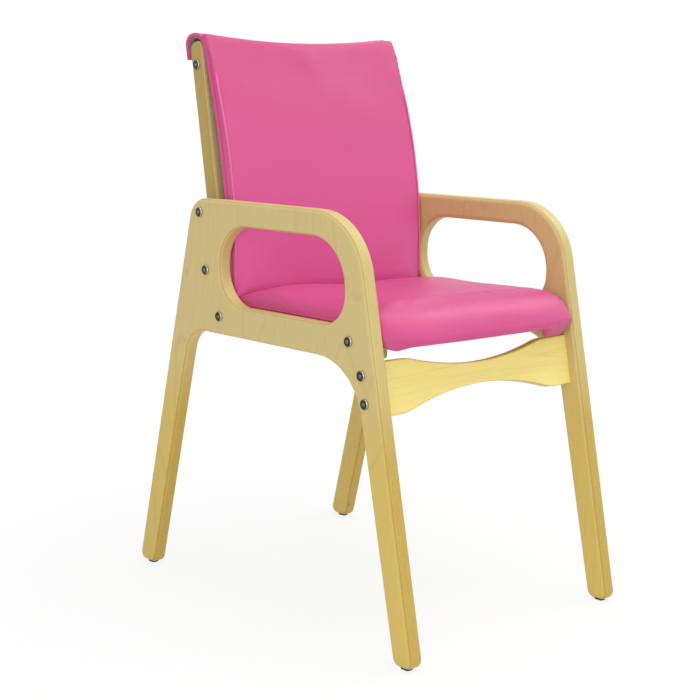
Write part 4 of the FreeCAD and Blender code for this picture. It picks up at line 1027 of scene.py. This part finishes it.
def white_floor():
    """A pale floor that keeps the chair's shadow and fades to white away from it."""
    finish = bpy.data.materials.new("white_floor")
    tree = emptied(finish)
    output = tree.nodes.new("ShaderNodeOutputMaterial")
    paint = tree.nodes.new("ShaderNodeBsdfDiffuse")
    paint.inputs["Color"].default_value = tone(244, 244, 244)
    glow = tree.nodes.new("ShaderNodeEmission")
    mixed = tree.nodes.new("ShaderNodeMixShader")
    seen = looked_at(tree)
    length = tree.nodes.new("ShaderNodeVectorMath")
    length.operation = "LENGTH"
    feed(tree, length.inputs[0], place_in(tree))
    share = ranged(tree, length.outputs["Value"], SHADOW_START, SHADOW_END, FLOOR_GLOW, 1.0)
    feed(tree, mixed.inputs["Fac"], sum_of(tree, "MULTIPLY", seen, share))
    tree.links.new(paint.outputs["BSDF"], mixed.inputs[1])
    tree.links.new(glow.outputs["Emission"], mixed.inputs[2])
    tree.links.new(mixed.outputs["Shader"], output.inputs["Surface"])
    return finish


bpy.ops.mesh.primitive_plane_add(size=FLOOR_SIZE)
floor = bpy.context.active_object
floor.name = "floor"
floor.data.materials.append(white_floor())

ROOM_LIGHT = 0.68


def white_room():
    """Even light from all round, plain white where it is seen."""
    world = bpy.data.worlds.new("white_room")
    tree = emptied(world)
    output = tree.nodes.new("ShaderNodeOutputWorld")
    light = tree.nodes.new("ShaderNodeBackground")
    light.inputs["Strength"].default_value = ROOM_LIGHT
    light.inputs["Color"].default_value = WHITE
    seen = tree.nodes.new("ShaderNodeBackground")
    seen.inputs["Strength"].default_value = 1.0
    seen.inputs["Color"].default_value = WHITE
    mixed = tree.nodes.new("ShaderNodeMixShader")
    feed(tree, mixed.inputs["Fac"], looked_at(tree))
    tree.links.new(light.outputs["Background"], mixed.inputs[1])
    tree.links.new(seen.outputs["Background"], mixed.inputs[2])
    tree.links.new(mixed.outputs["Shader"], output.inputs["Surface"])
    bpy.context.scene.world = world


white_room()


def soft_lamp(name, place, aim, size, power):
    """A large soft lamp."""
    bpy.ops.object.light_add(type="AREA", location=place)
    lamp = bpy.context.active_object
    lamp.name = name
    lamp.rotation_euler = (Vector(aim) - Vector(place)).to_track_quat("-Z", "Y").to_euler()
    lamp.data.shape = "DISK"
    lamp.data.size = size
    lamp.data.energy = power


soft_lamp("key_lamp", place=(-1.8, -1.7, 1.05), aim=(0.0, 0.0, 0.5), size=1.8, power=15.0)
soft_lamp("top_lamp", place=(0.2, -0.4, 2.6), aim=(0.0, 0.0, 0.4), size=1.6, power=23.0)
soft_lamp("side_lamp", place=(1.9, -0.5, 2.05), aim=(0.0, -0.1, 0.5), size=1.2, power=10.0)

CAMERA_PLACE = Vector((-1.4437, -1.4822, 0.7171))
CAMERA_YAW = math.radians(43.18)
CAMERA_PITCH = math.radians(9.71)
CAMERA_ROLL = math.radians(-1.24)
CAMERA_LENS = 70.97
CAMERA_FILM = 36.0
CAMERA_REACH = 200.0


def photo_camera():
    """The camera that took the photograph."""
    ahead = Vector((math.sin(CAMERA_YAW) * math.cos(CAMERA_PITCH),
                    math.cos(CAMERA_YAW) * math.cos(CAMERA_PITCH),
                    -math.sin(CAMERA_PITCH)))
    level = Vector((math.cos(CAMERA_YAW), -math.sin(CAMERA_YAW), 0.0))
    down = ahead.cross(level)
    right = level * math.cos(CAMERA_ROLL) + down * math.sin(CAMERA_ROLL)
    down = down * math.cos(CAMERA_ROLL) - level * math.sin(CAMERA_ROLL)
    bpy.ops.object.camera_add()
    camera = bpy.context.active_object
    camera.name = "photo_camera"
    turn = Matrix((right, -down, -ahead)).transposed()
    camera.matrix_world = Matrix.Translation(CAMERA_PLACE) @ turn.to_4x4()
    camera.data.lens = CAMERA_LENS
    camera.data.sensor_width = CAMERA_FILM
    camera.data.sensor_fit = "HORIZONTAL"
    camera.data.clip_end = CAMERA_REACH
    bpy.context.scene.camera = camera


photo_camera()
bpy.context.scene.view_settings.view_transform = "Standard"
